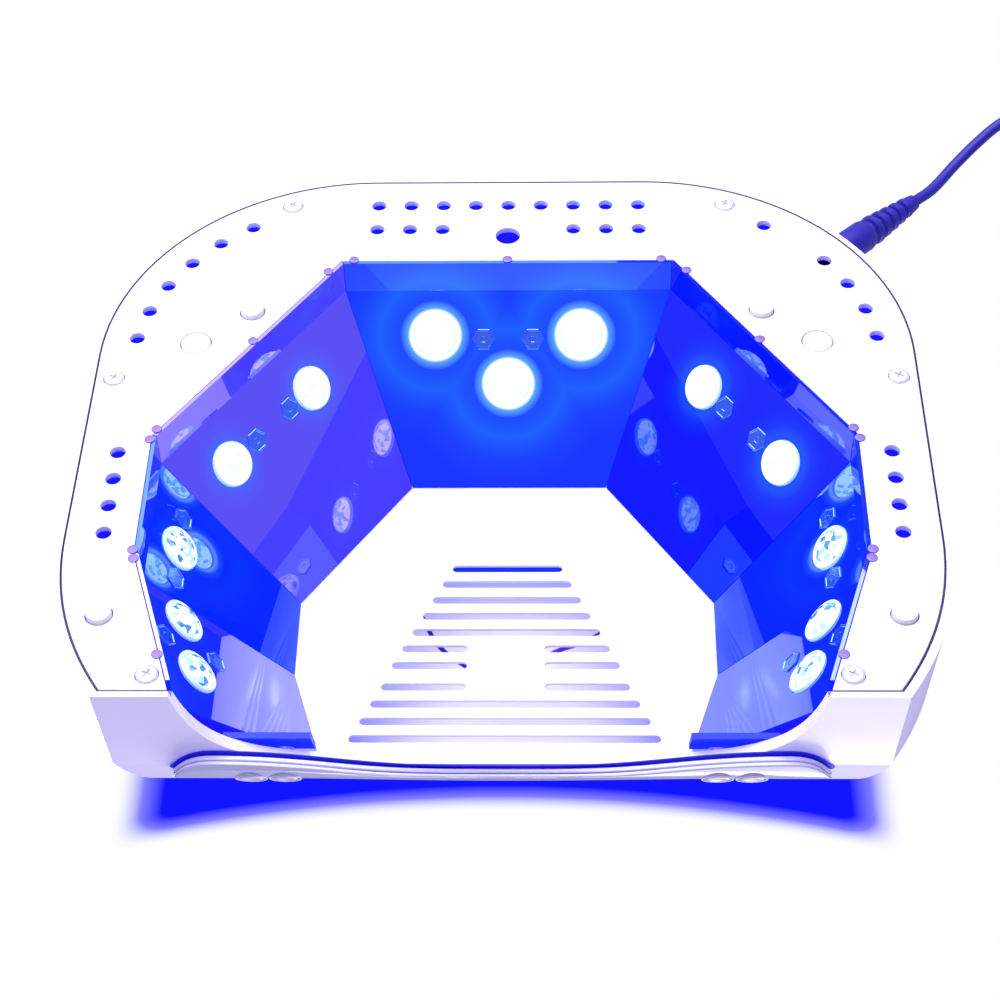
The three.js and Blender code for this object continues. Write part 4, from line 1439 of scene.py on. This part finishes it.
class LAMP_OT_power(bpy.types.Operator):
    """Builds the plug, the coil's tie and the power adapter"""

    bl_idname = "nail_lamp.power"
    bl_label = "Power"

    def execute(self, context):
        """Builds the plug, which comes before the lead, then the coil's tie and the adapter."""
        s = sizes()
        start = jack_face() + 0.0003
        end = start + s.plug_length
        radius = s.plug / 2
        profile = [(0, start), (radius - 0.0008, start), (radius - 0.0002, start + 0.0003),
                   (radius, start + 0.001), (radius, start + 0.016),
                   (radius - 0.0003, start + 0.0172), (radius - 0.0009, start + 0.0176)]
        for i in range(5):
            at = start + 0.0185 + 0.0037 * i
            wide = radius - 0.0003 - 0.00038 * i
            profile += [(wide - 0.0013, at), (wide - 0.0013, at + 0.0009), (wide - 0.0003, at + 0.001),
                        (wide, at + 0.0013), (wide, at + 0.0026), (wide - 0.0003, at + 0.0029)]
        profile += [(s.cord / 2 + 0.0010, end - 0.0022), (s.cord / 2 + 0.0007, end - 0.0003),
                    (s.cord / 2 + 0.0004, end), (0, end)]
        put_turned("plug_moulding", profile, jack_frame(), cord_finish(),
                   stands_for=["dc_plug"])
        self.tie()
        self.adapter()
        return {"FINISHED"}

    @staticmethod
    def tie():
        """A flat strap round one side of the coil."""
        s = sizes()
        centre = box_middle("cord_coil")
        inner, outer = s.coil - 2 * s.cord, s.coil + 2 * s.cord
        middle, width = (inner + outer) / 2, outer - inner
        top = 4 * s.cord + 0.00035
        hole = [(x + middle, y + top / 2 + 0.0001) for x, y in
                rounded_box(width + 0.0002, top - 0.0001, 0.0012)]
        around = [(x + middle, y + top / 2 + 0.00035) for x, y in
                  rounded_box(width + 0.0013, top + 0.0007, 0.0016)]
        strap = sheet("coil_tie", around, [hole], -0.0025, 0.005, 0.00002)
        turn = Matrix.Translation((centre.x, centre.y, 0))
        turn = turn @ Matrix.Rotation(math.radians(-40), 4, "Z")
        strap.transform(turn @ Matrix.Rotation(math.pi / 2, 4, "X"))
        lift = min(v.co.z for v in strap.vertices)
        strap.transform(Matrix.Translation((0, 0, 0.00001 - lift)))
        put("coil_tie", strap, rubber("tie_plastic", (0.02, 0.02, 0.03), 0.5))

    @staticmethod
    def adapter():
        """A two-part housing with a seam, a ribbed collar and two flat blades."""
        low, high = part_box("adapter_body")
        width = high.x - low.x
        s = sizes()
        depth = ADAPTER_DEPTH
        cx, cy = (low.x + high.x) / 2, low.y + depth / 2
        levels = [(0, 0.0022), (0.0005, 0.0012), (0.0013, 0.0004), (0.0024, 0.0), (0.0135, 0.0),
                  (0.0137, 0.0005), (0.0143, 0.0005), (0.0145, 0.0), (0.0256, 0.0),
                  (0.0267, 0.0004), (0.0275, 0.0012), (0.028, 0.0022)]

        def build(bm):
            rings = []
            for z, inset in levels:
                outline = rounded_box(width - 2 * inset, depth - 2 * inset, 0.005 - inset)
                rings.append([(cx + x, cy + y, z) for x, y in outline])
            skin(bm, rings)
        def block(name, outline, start, end):
            rings = [[(cx + x, low.y + y, BLADES_HEIGHT + z) for x, z in outline]
                     for y in (start, end)]
            return mesh_of(name, lambda bm: skin(bm, rings))

        recess = block("recess", rounded_box(0.0236, 0.0136, 0.0015), -0.001, 0.0024)
        body = smooth_mesh(cut(mesh_of("adapter_housing", build), [recess]))
        black = moulded("adapter_plastic", (0.025, 0.022, 0.05), 0.42, 0.1, 700.0, 0.00004)
        piece = put("adapter_housing", body, black)
        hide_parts("adapter_body")
        profile = [(0, 0), (0.0044, 0), (0.0044, 0.0012), (0.0036, 0.0014), (0.0036, 0.002),
                   (0.0040, 0.0022), (0.0038, 0.0034), (0.0031, 0.0036), (0.0031, 0.0042),
                   (0.0034, 0.0044), (0.0030, 0.0062), (0, 0.0062)]
        collar = standing(Vector((cx, low.y + depth - 0.0002, s.cord / 2 + 0.00455)),
                          Vector((0, 1, 0)))
        put_turned("adapter_collar", profile, collar, cord_finish(), segments=32)
        insert = block("blade_block", rounded_box(0.0234, 0.0134, 0.0012), 0.00005, 0.0023)
        put("blade_block", smooth_mesh(insert), black)
        dress("adapter_blades", nickel())


class LAMP_OT_inner_parts(bpy.types.Operator):
    """Dresses the boards, the jack and the leads that stay as they are, and adds inner wires"""

    bl_idname = "nail_lamp.inner_parts"
    bl_label = "Inner parts"

    def execute(self, context):
        """Boards get tracks, plastics get a moulded skin."""
        for node in BOARDS:
            dress(node, shared("led_board_white", lambda name: board_finish(name, (0.7, 0.7, 0.8))))
        # These boards glow deep blue: painted light, so they blend with the blue-lit cavity round
        # them.
        glowing_board = shared("board_blue", lambda name: board_finish(name, (0.01, 0.03, 0.45)))
        lit(glowing_board, (0.006, 0.03, 0.8), 0.6)
        for node in ("driver_board", "button_board_left", "button_board_right"):
            dress(node, glowing_board)
        black = shared("socket_plastic", lambda name: moulded(name, (0.02, 0.02, 0.03), 0.4, 0.1))
        dress("dc_jack", black)
        dress("power_leads", cord_finish())
        low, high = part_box("ceiling_plate")
        z = high.z + 0.0022
        y = opening(sizes().cavity_lean, low.y)[3].y
        runs = {
            "inner_wire_1": [(-0.050, y - 0.020), (-0.031, y - 0.052), (-0.024, y - 0.058),
                             (-0.012, y - 0.064), (-0.004, y - 0.078)],
            "inner_wire_2": [(0.046, y - 0.024), (0.028, y - 0.044), (0.020, y - 0.060),
                             (0.014, y - 0.066), (0.002, y - 0.074)],
        }
        for (name, run), tint in zip(runs.items(), [(0.20, 0.01, 0.50), (0.01, 0.01, 0.35)]):
            path = flowing([Vector((x, y_, z)) for x, y_ in run])
            line = tube(name, path, 0.0007, 3)
            put(name, line, rubber(f"{name}_sheath", tint, 0.4))
        return {"FINISHED"}


class LAMP_OT_studio(bpy.types.Operator):
    """Sets the pale floor, the soft lights and the plain backdrop"""

    bl_idname = "nail_lamp.studio"
    bl_label = "Studio"

    below: FloatProperty(name="Light from below", default=14.0, description="Watts")
    above: FloatProperty(name="Light from above", default=9.0, description="Watts")

    def execute(self, context):
        """The floor is seen from above only, since the lamp is also shown from underneath."""
        scene = context.scene
        scene.view_settings.view_transform = "Standard"
        low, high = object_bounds()
        self.floor(low[2] - 0.0002)
        self.light("light_below", (0.15, 0.20, -0.80), (0, 0, 0.02), 1.1, self.below,
                   (0.97, 0.96, 1.0))
        self.light("light_above", (-0.35, -0.45, 0.95), (0, 0, 0.04), 0.9, self.above,
                   (1.0, 0.99, 1.0))
        self.light("light_behind", (0.5, 0.7, 0.7), (0, 0, 0.04), 0.7, self.above * 0.6,
                   (0.95, 0.96, 1.0))
        self.shade(high[2] + 0.0006)
        world = bpy.data.worlds.new("studio")
        scene.world = world
        world.use_nodes = True
        tree = world.node_tree
        tree.nodes.clear()
        seen = add(tree, "ShaderNodeBackground", Color=(1, 1, 1, 1))
        fill = add(tree, "ShaderNodeBackground", Color=(0.62, 0.60, 0.95, 1), Strength=0.45)
        path = add(tree, "ShaderNodeLightPath")
        mixed(tree, path.outputs["Is Camera Ray"], fill.outputs["Background"],
              seen.outputs["Background"], add(tree, "ShaderNodeOutputWorld"))
        return {"FINISHED"}

    @staticmethod
    def patch(name, low, high, level, made):
        """A level rectangle that faces up, seen by the camera alone."""
        corners = [low, (high[0], low[1]), high, (low[0], high[1])]
        mesh = bpy.data.meshes.new(name)
        mesh.from_pydata([(x, y, level) for x, y in corners], [], [(0, 1, 2, 3)])
        mesh.materials.append(made)
        piece = bpy.data.objects.new(name, mesh)
        bpy.context.scene.collection.objects.link(piece)
        piece.visible_shadow = False
        piece.visible_diffuse = False
        piece.visible_glossy = False
        piece.visible_transmission = False
        piece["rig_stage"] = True

    def floor(self, level):
        """A wide pale floor with a faint grain, seen from above only."""
        made, tree, shader = material("floor_paper", (0.86, 0.86, 0.90), 0.8)
        paper = grain(tree, 30.0)
        vary(tree, paper.outputs["Fac"], (0.84, 0.84, 0.885), (0.87, 0.87, 0.91),
             shader.inputs["Base Color"])
        lit(made, (0.80, 0.80, 0.92), 0.5)
        side = add(tree, "ShaderNodeNewGeometry")
        clear = add(tree, "ShaderNodeBsdfTransparent")
        mixed(tree, side.outputs["Backfacing"], shader.outputs["BSDF"], clear.outputs["BSDF"],
              tree.nodes["Material Output"])
        reach = 4.0
        self.patch("floor", (-reach, -reach), (reach, reach), level, made)

    def shade(self, level):
        """The blue shade on the table under the crown, seen from below only."""
        made, tree, shader = material("shade_blue", (0, 0, 0), 1.0)
        shader.inputs["Specular IOR Level"].default_value = 0
        split = add(tree, "ShaderNodeSeparateXYZ")
        located(tree, split.inputs["Vector"])

        def maths(kind, a, b=0.0):
            node = add(tree, "ShaderNodeMath", operation=kind)
            for socket, value in zip(node.inputs, (a, b)):
                if isinstance(value, float):
                    socket.default_value = value
                else:
                    tree.links.new(value, socket)
            return node.outputs["Value"]

        aside = maths("ABSOLUTE", split.outputs["X"])
        bow = maths("MULTIPLY", maths("POWER", maths("DIVIDE", aside, 0.1), 2.0), 0.012)
        edge = maths("ADD", split.outputs["Y"], maths("ADD", bow, 0.0682))
        weight = add(tree, "ShaderNodeNewGeometry").outputs["Backfacing"]
        for source, none, full in ((edge, -0.0060, 0.0054), (aside, 0.114, 0.096)):
            fade = add(tree, "ShaderNodeMapRange", interpolation_type="SMOOTHSTEP",
                       From_Min=none, From_Max=full)
            tree.links.new(source, fade.inputs["Value"])
            weight = maths("MULTIPLY", weight, fade.outputs["Result"])
        glow = add(tree, "ShaderNodeEmission")
        ramp(tree, weight, {0.0: (1, 1, 1), 0.45: (0.22, 0.21, 1.0), 0.9: (0.006, 0.008, 1.0)},
             glow.inputs["Color"])
        clear = add(tree, "ShaderNodeBsdfTransparent")
        mixed(tree, maths("GREATER_THAN", weight, 0.002), clear.outputs["BSDF"],
              glow.outputs["Emission"], tree.nodes["Material Output"])
        self.patch("shade", (-0.16, -0.30), (0.16, 0.02), level, made)

    @staticmethod
    def light(name, place, aim, size, power, tint):
        """A large soft square light."""
        data = bpy.data.lights.new(name, "AREA")
        data.size = size
        data.energy = power
        data.color = tint
        lamp = bpy.data.objects.new(name, data)
        bpy.context.scene.collection.objects.link(lamp)
        lamp.location = place
        way = Vector(aim) - Vector(place)
        lamp.rotation_euler = way.to_track_quat("-Z", "Y").to_euler()
        lamp.visible_camera = False
        return lamp


class LAMP_PT_panel(bpy.types.Panel):
    """Lists the lamp's operators"""

    bl_label = "Nail Lamp"
    bl_idname = "LAMP_PT_panel"
    bl_space_type = "VIEW_3D"
    bl_region_type = "UI"
    bl_category = "Nail Lamp"

    def draw(self, context):
        """One button for each operator."""
        for operator in OPERATORS:
            self.layout.operator(operator.bl_idname)


OPERATORS = [
    LAMP_OT_camera,
    LAMP_OT_power,
    LAMP_OT_lead,
    LAMP_OT_case,
    LAMP_OT_plates,
    LAMP_OT_mirrors,
    LAMP_OT_lenses,
    LAMP_OT_fixings,
    LAMP_OT_controls,
    LAMP_OT_inner_parts,
    LAMP_OT_studio,
]
CLASSES = [LampSizes, LampFinish, *OPERATORS, LAMP_PT_panel]


def register():
    """Makes the classes and their settings known."""
    for each in CLASSES:
        bpy.utils.register_class(each)
    bpy.types.Scene.nail_lamp_sizes = PointerProperty(type=LampSizes)
    bpy.types.Scene.nail_lamp_finish = PointerProperty(type=LampFinish)


def unregister():
    """Takes them away again."""
    del bpy.types.Scene.nail_lamp_finish
    del bpy.types.Scene.nail_lamp_sizes
    for each in reversed(CLASSES):
        bpy.utils.unregister_class(each)


def main():
    """Builds every piece in order."""
    register()
    for operator in OPERATORS:
        group, name = operator.bl_idname.split(".")
        getattr(getattr(bpy.ops, group), name)()


if __name__ == "__main__":
    main()
